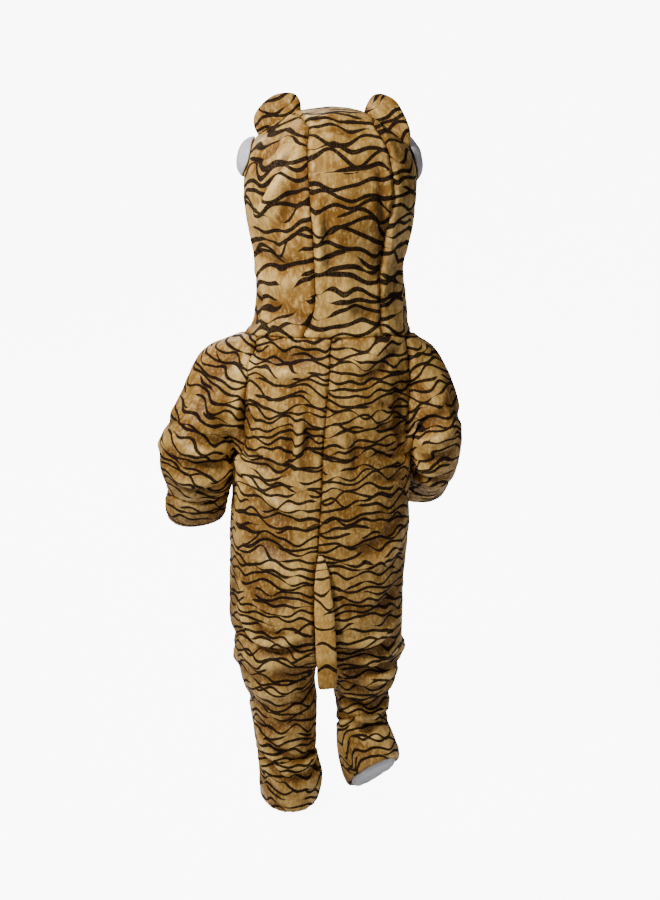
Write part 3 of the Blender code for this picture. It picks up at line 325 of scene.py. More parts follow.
# Zip and stitching, in brown thread and satin metal.
THREAD = (0.120, 0.060, 0.020)
METAL = (0.62, 0.59, 0.53)
ZIP_MIDDLE = -0.006
ZIP_REACH = 0.02              # edges this near to the middle get a row of stitches
ZIP_FOOT = -0.36
FACE_FRONT = -0.03            # the hood's edge in front of this gets a row of stitches
SLIDER_OVERLAP = 0.001
TOOTH_LIFT = 0.0001
TOOTH_ASIDE = 0.28            # of its width, from the middle to its own side
TOOTH_TIP = (1.0, 0.8, 0.7)   # size of the end that meets the other side
TOOTH_EDGE = 0.0002
STITCH_WIDTH = 0.0009
STITCH_HEIGHT = 0.0008
STITCH_LIFT = 0.0001
STITCH_INSET = 0.006
STITCH_PITCH = 0.0042

# Stage: the floor bends up into a wall in front of the costume, and the camera stands behind it.
FLOOR_GAP = 0.004
FLOOR_HALF = 7.0
FLOOR_BACK = 5.0
FLOOR_FRONT = -3.0
FLOOR_BEND = 1.5
FLOOR_TURNS = 9
BACKDROP_HEIGHT = 6.0
CAMERA_PLACE = (0.0, 2.6, 0.48)
CAMERA_TILT = 76.5
PHOTO_WIDTH = 660
PHOTO_HEIGHT = 900
PHOTO_MIDDLE = (322.0, 428.15)   # the pixel that the camera points at
FOCAL_PIXELS = 1848.15

# Deeper tones of the pile, the light tips of its flecks, the painted shade laid into troughs and seam
# grooves, and how sharply its print ends.
PILE_ROOT = (0.150, 0.060, 0.012, 1.0)
PILE_SHADE = (0.150, 0.062, 0.010, 1.0)
PILE_TIPS = (1.000, 0.720, 0.280, 1.0)
CREASE_PAINTED_SHADE = (0.090, 0.034, 0.005, 1.0)
PRINT_EDGE = (-0.0004, 0.0005)   # from bare cloth to full print across a stripe's edge

SIDE_WAYS = {
    "back": Vector((0.0, 1.0, 0.0)),
    "front": Vector((0.0, -1.0, 0.0)),
    "left": Vector((1.0, 0.0, 0.0)),
    "right": Vector((-1.0, 0.0, 0.0)),
}


class PlushSettings(bpy.types.PropertyGroup):
    # Gold and ochre are mixed by random nap and by the cloth's fold height: gold also gives painted highlight
    # on ridges, ochre painted shade in troughs and seams.
    gold: FloatVectorProperty(
        name="Gold", description="Plush where its pile catches the light",
        default=(0.880, 0.550, 0.155), **COLOUR)
    ochre: FloatVectorProperty(
        name="Ochre", description="Plush where its pile is brushed away",
        default=(0.235, 0.104, 0.014), **COLOUR)
    # Towards the tail's lower end its mix leans to the tail ochre as painted shade.
    tail_high: FloatVectorProperty(
        name="Tail gold", description="Brushed-up pile of the tail",
        default=(1.000, 0.640, 0.200), **COLOUR)
    tail_low: FloatVectorProperty(
        name="Tail ochre", description="Flat pile of the tail",
        default=(0.560, 0.290, 0.055), **COLOUR)
    stripe: FloatVectorProperty(
        name="Stripe", description="Printed stripes",
        default=(0.008, 0.003, 0.002), **COLOUR)
    white: FloatVectorProperty(
        name="White", description="Plush of the soles and side pads",
        default=(0.760, 0.750, 0.810), **COLOUR)
    backing: FloatVectorProperty(
        name="Backing", description="Knitted wrong side of the plush",
        default=(0.430, 0.270, 0.110), **COLOUR)
    spacing: FloatProperty(
        name="Stripe spacing", description="From one stripe to the next", unit="LENGTH", default=0.0108)
    thickness: FloatProperty(
        name="Stripe thickness", description="Widest part of a stripe", unit="LENGTH", default=0.0049)
    wall: FloatProperty(
        name="Cloth thickness", description="Pile and backing together", unit="LENGTH", default=0.0020)
    groove: FloatProperty(
        name="Seam depth", description="How far a seam pulls the cloth in", unit="LENGTH", default=0.0024)
    crease: FloatProperty(
        name="Crease depth", description="Depth of every crease, as a share of its row", default=1.9)


class ZipSettings(bpy.types.PropertyGroup):
    pitch: FloatProperty(
        name="Tooth pitch", description="From one tooth to the next on a side", unit="LENGTH", default=0.0030)
    tooth: FloatVectorProperty(
        name="Tooth size", description="Across, out and along", unit="LENGTH", size=3,
        default=(0.0030, 0.0014, 0.0012))
    stitch_length: FloatProperty(
        name="Stitch length", description="One stitch of the visible rows", unit="LENGTH", default=0.0030)


class StageSettings(bpy.types.PropertyGroup):
    floor: FloatVectorProperty(
        name="Floor", description="Plain pale floor and wall",
        default=(0.90, 0.90, 0.90), **COLOUR)
    glow: FloatProperty(name="Floor glow", description="Brightness of floor and wall as seen", default=9.0)
    key_power: FloatProperty(name="Key light", description="Power of the small lamp on the left", default=9.8)
    fill_power: FloatProperty(name="Fill light", description="Power of the weaker lamp", default=5.0)
    front_power: FloatProperty(name="Front light", description="Power of the lamp in front", default=56.0)
    world: FloatProperty(name="Ambient", description="Strength of the even light all round", default=0.125)
    samples_seed: IntProperty(name="Seed", description="Start of the uneven cloth pattern", default=3)


def named(fields, row):
    """A table row as named values."""
    return dict(zip(fields, row))


def link(name, data):
    """New object in the scene."""
    obj = bpy.data.objects.new(name, data)
    bpy.context.scene.collection.objects.link(obj)
    return obj


def mesh_from(bm, name):
    """The finished bmesh as a mesh."""
    mesh = bpy.data.meshes.new(name)
    bm.to_mesh(mesh)
    bm.free()
    return mesh


def store(mesh, name, values):
    """Writes one number, or one vector, for each point into an attribute that the materials read."""
    kind, key = ("FLOAT", "value") if values.ndim == 1 else ("FLOAT_VECTOR", "vector")
    attribute = mesh.attributes.new(name, kind, "POINT")
    attribute.data.foreach_set(key, values.astype(np.float32).ravel())


def move_points(mesh, points):
    mesh.vertices.foreach_set("co", points.ravel())
    mesh.update()


def turned(points, lean, tip=0.0):
    """The points leaned about Y and then tipped about X, by degrees."""
    turn = Matrix.Rotation(math.radians(tip), 3, "X") @ Matrix.Rotation(math.radians(lean), 3, "Y")
    return points @ np.array(turn).T


def set_down(bm, verts, axes, middle):
    """Turns and moves a new shape's points, so that its own axes lie along the given ones."""
    basis = Matrix(axes).transposed().to_4x4()
    bmesh.ops.transform(bm, matrix=Matrix.Translation(middle) @ basis, verts=verts)


def dress(mesh, *materials):
    """Gives the mesh these materials and no others."""
    mesh.materials.clear()
    for material in materials:
        mesh.materials.append(material)


def finish_piece(obj, body, nodes=()):
    """Smooth shading, the body that the piece moves with and the solids that it stands for."""
    for polygon in obj.data.polygons:
        polygon.use_smooth = True
    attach(obj, body)
    if nodes:
        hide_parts(*nodes)
    return obj


class Graph:
    """Shader nodes of one tree, made and joined in short calls."""

    def __init__(self, tree):
        self.tree = tree

    def feed(self, socket, value):
        if isinstance(value, bpy.types.NodeSocket):
            self.tree.links.new(value, socket)
        elif value is not None:
            socket.default_value = value

    def node(self, kind, inputs=(), **settings):
        made = self.tree.nodes.new(kind)
        for key, value in settings.items():
            setattr(made, key, value)
        for key, value in dict(inputs).items():
            self.feed(made.inputs[key], value)
        return made

    def math(self, operation, a, b=None, c=None, clamp=False):
        made = self.node("ShaderNodeMath", operation=operation, use_clamp=clamp)
        for socket, value in zip(made.inputs, (a, b, c)):
            self.feed(socket, value)
        return made.outputs[0]

    def vector(self, operation, a, b=None):
        made = self.node("ShaderNodeVectorMath", operation=operation)
        self.feed(made.inputs[0], a)
        if operation == "SCALE":
            self.feed(made.inputs["Scale"], b)
        else:
            self.feed(made.inputs[1], b)
        return made.outputs[0]

    def noise(self, place, scale, detail=1.0, roughness=0.5):
        inputs = {"Vector": place, "Scale": scale, "Detail": detail, "Roughness": roughness}
        return self.node("ShaderNodeTexNoise", inputs, noise_dimensions="3D").outputs["Fac"]

    def ramp(self, value, low, high, to_low=0.0, to_high=1.0):
        inputs = {"Value": value, "From Min": low, "From Max": high, "To Min": to_low, "To Max": to_high}
        made = self.node("ShaderNodeMapRange", inputs, interpolation_type="SMOOTHSTEP", clamp=True)
        return made.outputs["Result"]

    def mix(self, share, a, b):
        made = self.node("ShaderNodeMix", data_type="RGBA", blend_type="MIX")
        self.feed(made.inputs[0], share)
        self.feed(made.inputs[6], a)
        self.feed(made.inputs[7], b)
        return made.outputs[2]

    def group(self, tree, place):
        """A node group laid over the given place."""
        made = self.node("ShaderNodeGroup", node_tree=tree)
        self.feed(made.inputs["Place"], place)
        return made

    def bump(self, shader, height, strength, distance):
        made = self.node("ShaderNodeBump", {"Height": height, "Strength": strength, "Distance": distance})
        self.feed(shader.inputs["Normal"], made.outputs["Normal"])

    def object_place(self):
        return self.node("ShaderNodeTexCoord").outputs["Object"]


def new_group(name, inputs, outputs):
    """Empty shader node group with named sockets, its graph, and its input sockets."""
    group = bpy.data.node_groups.new(name, "ShaderNodeTree")
    for title, kind, value in inputs:
        socket = group.interface.new_socket(name=title, in_out="INPUT", socket_type=kind)
        if value is not None:
            socket.default_value = value
    for title, kind in outputs:
        group.interface.new_socket(name=title, in_out="OUTPUT", socket_type=kind)
    graph = Graph(group)
    entry = graph.node("NodeGroupInput")
    leave = graph.node("NodeGroupOutput")
    return group, graph, entry.outputs, leave.inputs


def stripe_group():
    """Wavy stripes that taper at their ends and run into their neighbours, as a mask over the cloth."""
    group, g, given, out = new_group(
        "tiger_stripes",
        (("Place", "NodeSocketVector", None), ("Spacing", "NodeSocketFloat", 0.0170),
         ("Thickness", "NodeSocketFloat", 0.0049), ("Run", "NodeSocketFloat", 0.046),
         ("Wander", "NodeSocketFloat", 0.024), ("Cover", "NodeSocketFloat", 0.27)),
        (("Mask", "NodeSocketFloat"),))
    place = given["Place"]
    apart = g.node("ShaderNodeSeparateXYZ", {"Vector": place})
    waves = g.noise(g.vector("MULTIPLY", place, (1.0, 1.0, 0.55)), 22.0, 0.0)
    shift = g.math("MULTIPLY_ADD", g.math("SUBTRACT", waves, 0.5), given["Wander"], apart.outputs["Z"])
    along = g.math("DIVIDE", shift, given["Spacing"])
    number = g.math("FLOOR", along)
    masks = []
    for step in (-1.0, 0.0, 1.0):
        own = g.math("ADD", number, step)
        strip = g.node("ShaderNodeCombineXYZ", {
            "X": g.math("DIVIDE", apart.outputs["X"], given["Run"]),
            "Y": g.math("DIVIDE", apart.outputs["Y"], given["Run"]),
            "Z": g.math("MULTIPLY", own, 3.71),
        }).outputs[0]
        swing = g.math("SUBTRACT", g.noise(g.vector("ADD", strip, (7.3, 2.1, 1.9)), 1.5, 0.0), 0.5)
        swing = g.math("MINIMUM", g.math("MAXIMUM", g.math("MULTIPLY", swing, 2.9), -1.0), 1.0)
        middle = g.math("ADD", g.math("ADD", own, 0.5), swing)
        gap = g.math("MULTIPLY", g.math("ABSOLUTE", g.math("SUBTRACT", along, middle)), given["Spacing"])
        life = g.noise(strip, 1.3, 0.0)
        body = g.ramp(life, given["Cover"], g.math("ADD", given["Cover"], 0.17))
        half = g.math("MULTIPLY", g.math("MULTIPLY", body, given["Thickness"]), 0.5)
        inside = g.math("SUBTRACT", half, gap)
        masks.append(g.ramp(inside, *PRINT_EDGE))
    g.feed(out["Mask"], g.math("MAXIMUM", g.math("MAXIMUM", masks[0], masks[1]), masks[2]))
    return group


def pile_group():
    """Brushed pile: broad patches of nap, fine grain, and a height for the bump."""
    group, g, given, out = new_group(
        "short_pile",
        (("Place", "NodeSocketVector", None), ("Patch", "NodeSocketFloat", 18.0),
         ("Grain", "NodeSocketFloat", 900.0)),
        (("Nap", "NodeSocketFloat"), ("Grain", "NodeSocketFloat"), ("Fleck", "NodeSocketFloat"),
         ("Height", "NodeSocketFloat")))
    place = given["Place"]
    stretched = g.vector("MULTIPLY", place, (1.0, 1.0, 0.55))
    broad = g.noise(stretched, given["Patch"], 3.0, 0.62)
    small = g.noise(stretched, g.math("MULTIPLY", given["Patch"], 6.0), 2.0, 0.6)
    nap = g.math("MULTIPLY_ADD", small, 0.35, g.math("MULTIPLY", broad, 0.75))
    grain = g.noise(stretched, given["Grain"], 2.0, 0.7)
    tuft_scale = g.math("MULTIPLY", given["Grain"], 0.7)
    tufts = g.node("ShaderNodeTexVoronoi", {"Vector": stretched, "Scale": tuft_scale})
    height = g.math("MULTIPLY_ADD", tufts.outputs["Distance"], -0.5, grain)
    g.feed(out["Nap"], g.ramp(nap, 0.42, 0.84))
    g.feed(out["Grain"], grain)
    g.feed(out["Fleck"], g.noise(stretched, g.math("MULTIPLY", given["Patch"], 15.0), 2.0, 0.6))
    g.feed(out["Height"], g.math("MULTIPLY_ADD", small, 0.8, height))
    return group


def knit_group():
    """Fine ribs of a knit or woven tape as a height."""
    group, g, given, out = new_group(
        "rib_weave",
        (("Place", "NodeSocketVector", None), ("Across", "NodeSocketFloat", 1400.0),
         ("Along", "NodeSocketFloat", 1000.0)),
        (("Height", "NodeSocketFloat"), ("Shade", "NodeSocketFloat")))
    apart = g.node("ShaderNodeSeparateXYZ", {"Vector": given["Place"]})
    side, up = (
        g.math("SINE", g.math("MULTIPLY", apart.outputs[axis], g.math("MULTIPLY", given[way], 6.283)))
        for axis, way in (("X", "Across"), ("Z", "Along")))
    height = g.math("MULTIPLY_ADD", side, 0.5, g.math("MULTIPLY", up, 0.35))
    g.feed(out["Height"], height)
    g.feed(out["Shade"], g.noise(given["Place"], 60.0, 3.0))
    return group


def new_material(name, roughness, sheen=0.0, metallic=0.0):
    """Material with a Principled shader, its graph and the shader."""
    material = bpy.data.materials.new(name)
    material.use_nodes = True
    graph = Graph(material.node_tree)
    shader = material.node_tree.nodes["Principled BSDF"]
    shader.inputs["Roughness"].default_value = roughness
    shader.inputs["Metallic"].default_value = metallic
    shader.inputs["Sheen Weight"].default_value = sheen
    return material, graph, shader


def colour(values):
    return (*values, 1.0)


def cloth_place(graph):
    return graph.node("ShaderNodeAttribute", attribute_name="cloth").outputs["Vector"]


def plush_material(name, low, high, stripe, stripes, pile, **print_values):
    """Short-pile plush from its low to its high pile colour; print_values set the stripe group."""
    material, g, shader = new_material(name, 0.6, sheen=0.02)
    shader.inputs["Sheen Roughness"].default_value = 0.35
    shader.inputs["Sheen Tint"].default_value = (1.0, 0.72, 0.36, 1.0)
    shader.inputs["Specular IOR Level"].default_value = 0.12
    shader.inputs["Coat Roughness"].default_value = 0.42
    place = cloth_place(g)
    nap = g.group(pile, place)
    mask = g.group(stripes, place)
    for key, value in print_values.items():
        mask.inputs[key.title()].default_value = value
    # The fold height paints light and shade into the colour: ridges lean to the high colour as painted
    # highlight, troughs and seams to the low colour as painted shade. The nap adds random patches of real
    # tone.
    fold = g.node("ShaderNodeAttribute", attribute_name="fold").outputs["Fac"]
    nap_and_fold_light = g.math("MULTIPLY_ADD", fold, 0.60, nap.outputs["Nap"], clamp=True)
    ground = g.mix(nap_and_fold_light, colour(low), colour(high))
    ground = g.mix(g.ramp(nap.outputs["Grain"], 0.30, 0.52, 0.30, 0.0), ground, PILE_ROOT)
    ground = g.mix(g.ramp(nap.outputs["Fleck"], 0.34, 0.50, 0.30, 0.0), ground, PILE_SHADE)
    ground = g.mix(g.ramp(nap.outputs["Fleck"], 0.50, 0.68, 0.0, 0.30), ground, PILE_TIPS)
    # Painted shade: troughs of creases and seam grooves are darkened further towards a dark brown.
    ground = g.mix(g.ramp(fold, -0.95, -0.15, 0.55, 0.0), ground, CREASE_PAINTED_SHADE)
    worn = g.math("MULTIPLY", mask.outputs["Mask"], g.ramp(nap.outputs["Grain"], 0.42, 0.72, 1.0, 0.86))
    g.feed(shader.inputs["Base Color"], g.mix(worn, ground, colour(stripe)))
    satin = g.math("MULTIPLY", g.math("SUBTRACT", 1.0, worn), g.ramp(nap_and_fold_light, 0.1, 1.0, 0.10, 0.55))
    g.feed(shader.inputs["Coat Weight"], satin)
    shine = g.ramp(nap.outputs["Nap"], 0.0, 1.0, 0.62, 0.46)
    g.feed(shader.inputs["Roughness"], g.math("MULTIPLY_ADD", worn, 0.30, shine))
    g.bump(shader, nap.outputs["Height"], 0.45, 0.0010)
    return material


def white_material(name, settings, pile):
    """Plain white plush, a little darker where its pile lies flat."""
    material, g, shader = new_material(name, 0.88, sheen=0.35)
    shader.inputs["Sheen Roughness"].default_value = 0.5
    shader.inputs["Specular IOR Level"].default_value = 0.15
    nap = g.group(pile, cloth_place(g))
    dim = tuple(0.74 * v for v in settings.white)
    ground = g.mix(nap.outputs["Nap"], colour(dim), colour(settings.white))
    g.feed(shader.inputs["Base Color"], ground)
    g.bump(shader, nap.outputs["Height"], 0.6, 0.0012)
    return material


def backing_material(name, settings, stripes, knit):
    """Wrong side of the plush: fine knit with the print showing through faintly."""
    material, g, shader = new_material(name, 0.9, sheen=0.1)
    place = cloth_place(g)
    ribs = g.group(knit, place)
    mask = g.group(stripes, place)
    dim = tuple(0.62 * v for v in settings.backing)
    ground = g.mix(g.ramp(ribs.outputs["Shade"], 0.3, 0.7), colour(settings.backing), colour(dim))
    through = g.math("MULTIPLY", mask.outputs["Mask"], 0.30)
    g.feed(shader.inputs["Base Color"], g.mix(through, ground, colour(settings.stripe)))
    g.bump(shader, ribs.outputs["Height"], 0.5, 0.0003)
    return material


def tape_material(name, knit):
    """Dark woven tape of the zip."""
    material, g, shader = new_material(name, 0.85, sheen=0.15)
    ribs = g.group(knit, g.object_place())
    ridge = g.ramp(ribs.outputs["Height"], -0.6, 0.6)
    # Painted shade: the tape is darker in the hollows between its ribs and lighter on their tops.
    ground = g.mix(ridge, (0.018, 0.012, 0.009, 1.0), (0.052, 0.036, 0.026, 1.0))
    g.feed(shader.inputs["Base Color"], ground)
    g.bump(shader, ribs.outputs["Height"], 0.7, 0.0003)
    return material


def metal_material(name, tone):
    """Satin metal with fine rubbing and darker cloudy patches."""
    material, g, shader = new_material(name, 0.34, metallic=1.0)
    place = g.object_place()
    rub = g.noise(g.vector("MULTIPLY", place, (1.0, 1.0, 0.2)), 2600.0, 3.0, 0.6)
    cloud = g.noise(place, 260.0, 3.0, 0.6)
    dark = tuple(0.55 * v for v in tone)
    g.feed(shader.inputs["Base Color"], g.mix(g.ramp(cloud, 0.35, 0.6), colour(dark), colour(tone)))
    g.feed(shader.inputs["Roughness"], g.ramp(rub, 0.3, 0.7, 0.26, 0.50))
    g.bump(shader, rub, 0.25, 0.0001)
    return material


def thread_material(name, tone):
    """Twisted sewing thread."""
    material, g, shader = new_material(name, 0.7, sheen=0.2)
    place = g.object_place()
    twist = g.noise(place, 1800.0, 2.0, 0.6)
    dark = tuple(0.5 * v for v in tone)
    g.feed(shader.inputs["Base Color"], g.mix(g.ramp(twist, 0.35, 0.65), colour(dark), colour(tone)))
    g.bump(shader, twist, 0.5, 0.0002)
    return material


def is_wall_edge(edge):
    """True for the short edges that join the outer skin of a cloth solid to its inner skin."""
    return any(abs(edge.calc_length() - wall) < WALL_SLACK for wall in WALL_LENGTHS)


def outer_skin(node):
    """Outer skin of a cloth solid as a mesh of triangles: the larger one between its rims."""
    bm = bmesh.new()
    bm.from_mesh(node.data)
    bmesh.ops.remove_doubles(bm, verts=bm.verts, dist=SAME_PLACE)
    rims = [face for face in bm.faces if any(is_wall_edge(edge) for edge in face.edges)]
    bmesh.ops.delete(bm, geom=rims, context="FACES")
    skins = []
    left = set(bm.faces)
    while left:
        grown = {left.pop()}
        front = list(grown)
        while front:
            face = front.pop()
            for edge in face.edges:
                for other in edge.link_faces:
                    if other in left:
                        left.discard(other)
                        grown.add(other)
                        front.append(other)
        skins.append(grown)
    skins.sort(key=lambda faces: sum(face.calc_area() for face in faces), reverse=True)
    bmesh.ops.delete(bm, geom=[face for skin in skins[1:] for face in skin], context="FACES")
    return mesh_from(bm, node.name + "_skin")


def joined_skins():
    """All outer skins as one surface of four-sided faces, a material index for each panel."""
    bm = bmesh.new()
    for index, row in enumerate(PANELS):
        skin = outer_skin(NODES[row[0]])
        first = len(bm.faces)
        bm.from_mesh(skin)
        bm.faces.ensure_lookup_table()
        for face in bm.faces[first:]:
            face.material_index = index
        bpy.data.meshes.remove(skin)
    bmesh.ops.remove_doubles(bm, verts=bm.verts, dist=SKIN_GAP)
    bmesh.ops.join_triangles(
        bm, faces=bm.faces, cmp_materials=True, angle_face_threshold=SKIN_QUADS,
        angle_shape_threshold=SKIN_QUADS)
    mesh = mesh_from(bm, "suit")
    for row in PANELS:
        mesh.materials.append(bpy.data.materials.new("panel_" + row[0]))
    return mesh


def rounded(obj, levels):
    """The object's mesh subdivided and smoothed, as a new mesh."""
    step = obj.modifiers.new("round", "SUBSURF")
    step.levels = levels
    step.render_levels = levels
    depsgraph = bpy.context.evaluated_depsgraph_get()
    mesh = bpy.data.meshes.new_from_object(obj.evaluated_get(depsgraph))
    obj.modifiers.clear()
    return mesh


def mesh_points(mesh):
    values = np.zeros(len(mesh.vertices) * 3)
    mesh.vertices.foreach_get("co", values)
    return values.reshape(-1, 3)


def mesh_normals(mesh):
    values = np.zeros(len(mesh.vertices) * 3)
    mesh.vertex_normals.foreach_get("vector", values)
    return values.reshape(-1, 3)


def smoothed_path(points, count):
    """Even points on a smooth curve through the given ones."""
    points = [Vector(p) for p in points]
    ends = [points[0] * 2 - points[1]] + points + [points[-1] * 2 - points[-2]]
    path = []
    for i in range(len(points) - 1):
        a, b, c, d = ends[i:i + 4]
        for k in range(count):
            t = k / count
            path.append(0.5 * ((2 * b) + (c - a) * t + (2 * a - 5 * b + 4 * c - d) * t * t
                               + (3 * b - a - 3 * c + d) * t ** 3))
    path.append(points[-1])
    return path


def on_surface(tree, side, pair):
    """The point that a ray from one side first meets at a pair of coordinates in millimetres."""
    way = SIDE_WAYS[side]
    across, up = (value * MILLIMETRE for value in pair)
    place = (across, 0.0, up) if side in ("back", "front") else (0.0, across, up)
    return tree.ray_cast(Vector(place) + way * RAY_START, -way)[0]


def crease_moves(mesh, points):
    """How far each crease moves each point along its normal."""
    tree = BVHTree.FromPolygons([v.co for v in mesh.vertices], [p.vertices for p in mesh.polygons])
    moves = np.zeros(len(points))
    for side, row in ((side, row) for side, rows in CREASES.items() for row in rows):
        half_width = row[0] * MILLIMETRE
        depth = row[1] * MILLIMETRE
        path = [on_surface(tree, side, pair) for pair in row[2:]]
        path = [p for p in path if p is not None]
        if len(path) < 2:
            continue
        line = np.array([tuple(p) for p in smoothed_path(path, CREASE_STEPS)])
        reach = half_width * CREASE_REACH
        near = np.all((points > line.min(0) - reach) & (points < line.max(0) + reach), axis=1)
        near = np.nonzero(near)[0]
        best = np.full(len(near), 1.0)
        along = np.zeros(len(near))
        steps = len(line) - 1
        for i in range(steps):
            a = line[i]
            b = line[i + 1]
            t = np.clip((points[near] - a) @ (b - a) / max(1e-12, (b - a) @ (b - a)), 0.0, 1.0)
            gap = np.linalg.norm(points[near] - (a + t[:, None] * (b - a)), axis=1)
            closer = gap < best
            best = np.where(closer, gap, best)
            along = np.where(closer, (i + t) / steps, along)
        fade = np.sin(np.pi * (CREASE_END + (1.0 - 2.0 * CREASE_END) * along)) ** CREASE_TAPER
        start = 4.0 * row[0]
        uneven = 1.0 + CREASE_SWING * np.sin(along * CREASE_WAVES + start)
        moves[near] += depth * fade * uneven * np.exp(-(best / half_width) ** 2)
    return moves


def seam_points(mesh):
    """Points on seams, and points on open edges, as two lists of indices."""
    seen = {}
    for polygon in mesh.polygons:
        for key in polygon.edge_keys:
            seen.setdefault(key, []).append(polygon.material_index)
    seams = set()
    edges = set()
    for key, found in seen.items():
        if len(found) == 1:
            edges.update(key)
        elif found[0] != found[1]:
            seams.update(key)
    return sorted(seams), sorted(edges)


def distance_to(points, indices):
    """Distance from every point to the nearest of some of them."""
    tree = kdtree.KDTree(len(indices))
    for i in indices:
        tree.insert(points[i], i)
    tree.balance()
    return np.array([tree.find(p)[2] for p in points])


def soft_noise(points, size, offset):
    """Smooth uneven values from -1 to 1 over the points."""
    scale = 1.0 / size
    shift = Vector(offset)
    return np.array([noise.noise(Vector(p) * scale + shift) for p in points])


def shape_cloth(mesh, settings, seed):
    """Presses seams, creases, puckers and soft unevenness into the surface."""
    points = mesh_points(mesh)
    normals = mesh_normals(mesh)
    seams, edges = seam_points(mesh)
    to_seam = distance_to(points, seams)
    to_edge = distance_to(points, edges)
    moves = CREASE_LIMIT * np.tanh(crease_moves(mesh, points) * settings.crease / CREASE_LIMIT)
    calm = np.clip(to_edge / EDGE_CALM, 0.0, 1.0)
    for height, size, closer, start in UNEVEN:
        offset = tuple(seed if part is None else part for part in start)
        moves += height * soft_noise(points * (1.0, 1.0, closer), size, offset) * calm
    pucker = soft_noise(points, PUCKER_SIZE, (0.1, 0.6, seed))
    moves += PUCKER_HEIGHT * pucker * np.exp(-(to_seam / PUCKER_REACH) ** 2) * calm
    moves += SEAM_ROLL * np.exp(-((to_seam - SEAM_ROLL_PLACE) / SEAM_ROLL_WIDTH) ** 2)
    moves -= settings.groove * np.exp(-(to_seam / SEAM_WIDTH) ** 2)
    for centre, radius, out in BULGES:
        far = np.linalg.norm(points - np.array(centre), axis=1)
        moves += out * np.exp(-(far / radius) ** 2)
    # Every rise and trough is kept as 'fold', from which the plush material paints highlight on ridges and
    # shade in troughs and seam grooves.
    store(mesh, "fold", np.clip(moves / FOLD_HEIGHT, -1.0, 1.0))
    fall = np.zeros_like(points)
    fall[:, 2] = -SAG * np.clip(soft_noise(points, SAG_SIZE, (0.4, 0.4, 0.1)), 0.0, 1.0)
    points = points + normals * moves[:, None] + fall * calm[:, None]
    move_points(mesh, points)


def lay_print(mesh, row):
    """Gives each point of a panel its place on the striped cloth."""
    p = named(PANEL_FIELDS, row)
    points = mesh_points(mesh)
    laid = turned(points, p["lean"], p["tip"])
    if p["node"] == "hood_strip":
        high = points[:, 2] > CROWN_START
        bend = np.arctan2(points[:, 2] - CROWN_START, points[:, 1])
        laid[high, 2] = CROWN_START + bend[high] * CROWN_RADIUS
        laid[high, 1] = CROWN_DEPTH
    store(mesh, "cloth", laid / p["print_size"] + np.array((p["start_across"], 0.0, p["start_along"])))


def solid_copy(node, levels, swell):
    """Copy of a padded solid with rounded faces, swollen a little to keep its size."""
    bm = bmesh.new()
    bm.from_mesh(NODES[node].data)
    bmesh.ops.remove_doubles(bm, verts=bm.verts, dist=SAME_PLACE)
    bmesh.ops.join_triangles(
        bm, faces=bm.faces, angle_face_threshold=PADDED_QUADS, angle_shape_threshold=PADDED_QUADS)
    mesh = mesh_from(bm, node + "_padded")
    obj = link(mesh.name, mesh)
    finer = rounded(obj, levels)
    obj.data = finer
    bpy.data.meshes.remove(mesh)
    move_points(finer, mesh_points(finer) + mesh_normals(finer) * swell)
    return obj


class COSTUME_OT_panels(bpy.types.Operator):
    """Sew the plush panels: one surface, creased, then cut along its seams"""
    bl_idname = "costume.panels"
    bl_label = "Plush panels"

    def execute(self, context):
        scene = context.scene
        settings = scene.costume_plush
        stripes = stripe_group()
        pile = pile_group()
        knit = knit_group()
        tiger = plush_material(
            "striped_plush", settings.ochre, settings.gold, settings.stripe, stripes, pile,
            spacing=settings.spacing, thickness=settings.thickness)
        white = white_material("plain_white_plush", settings, pile)
        backing = backing_material("plush_backing", settings, stripes, knit)
        base = link("suit", joined_skins())
        levels = 3
        mesh = rounded(base, levels)
        base.data = mesh
        shape_cloth(mesh, settings, scene.costume_stage.samples_seed)
        bpy.ops.object.select_all(action="DESELECT")
        base.select_set(True)
        context.view_layer.objects.active = base
        bpy.ops.object.mode_set(mode="EDIT")
        bpy.ops.mesh.select_all(action="SELECT")
        bpy.ops.mesh.separate(type="MATERIAL")
        bpy.ops.object.mode_set(mode="OBJECT")
        cut = {}
        for obj in list(context.selected_objects):
            used = obj.data.materials[obj.data.polygons[0].material_index]
            cut[used.name] = obj
        for row in PANELS:
            p = named(PANEL_FIELDS, row)
            obj = cut["panel_" + p["node"]]
            obj.name = p["node"] + "_plush"
            obj.data.name = obj.name
            plain = white if p["node"] in WHITE else tiger
            dress(obj.data, plain, backing)
            obj.data.polygons.foreach_set("material_index", [0] * len(obj.data.polygons))
            lay_print(obj.data, row)
            wall = obj.modifiers.new("cloth", "SOLIDIFY")
            wall.thickness = settings.wall
            wall.offset = -1.0
            wall.material_offset = 1
            finish_piece(obj, "costume", [p["node"]])
        for row in PANELS:
            bpy.data.materials.remove(bpy.data.materials["panel_" + row[0]])
        return {"FINISHED"}


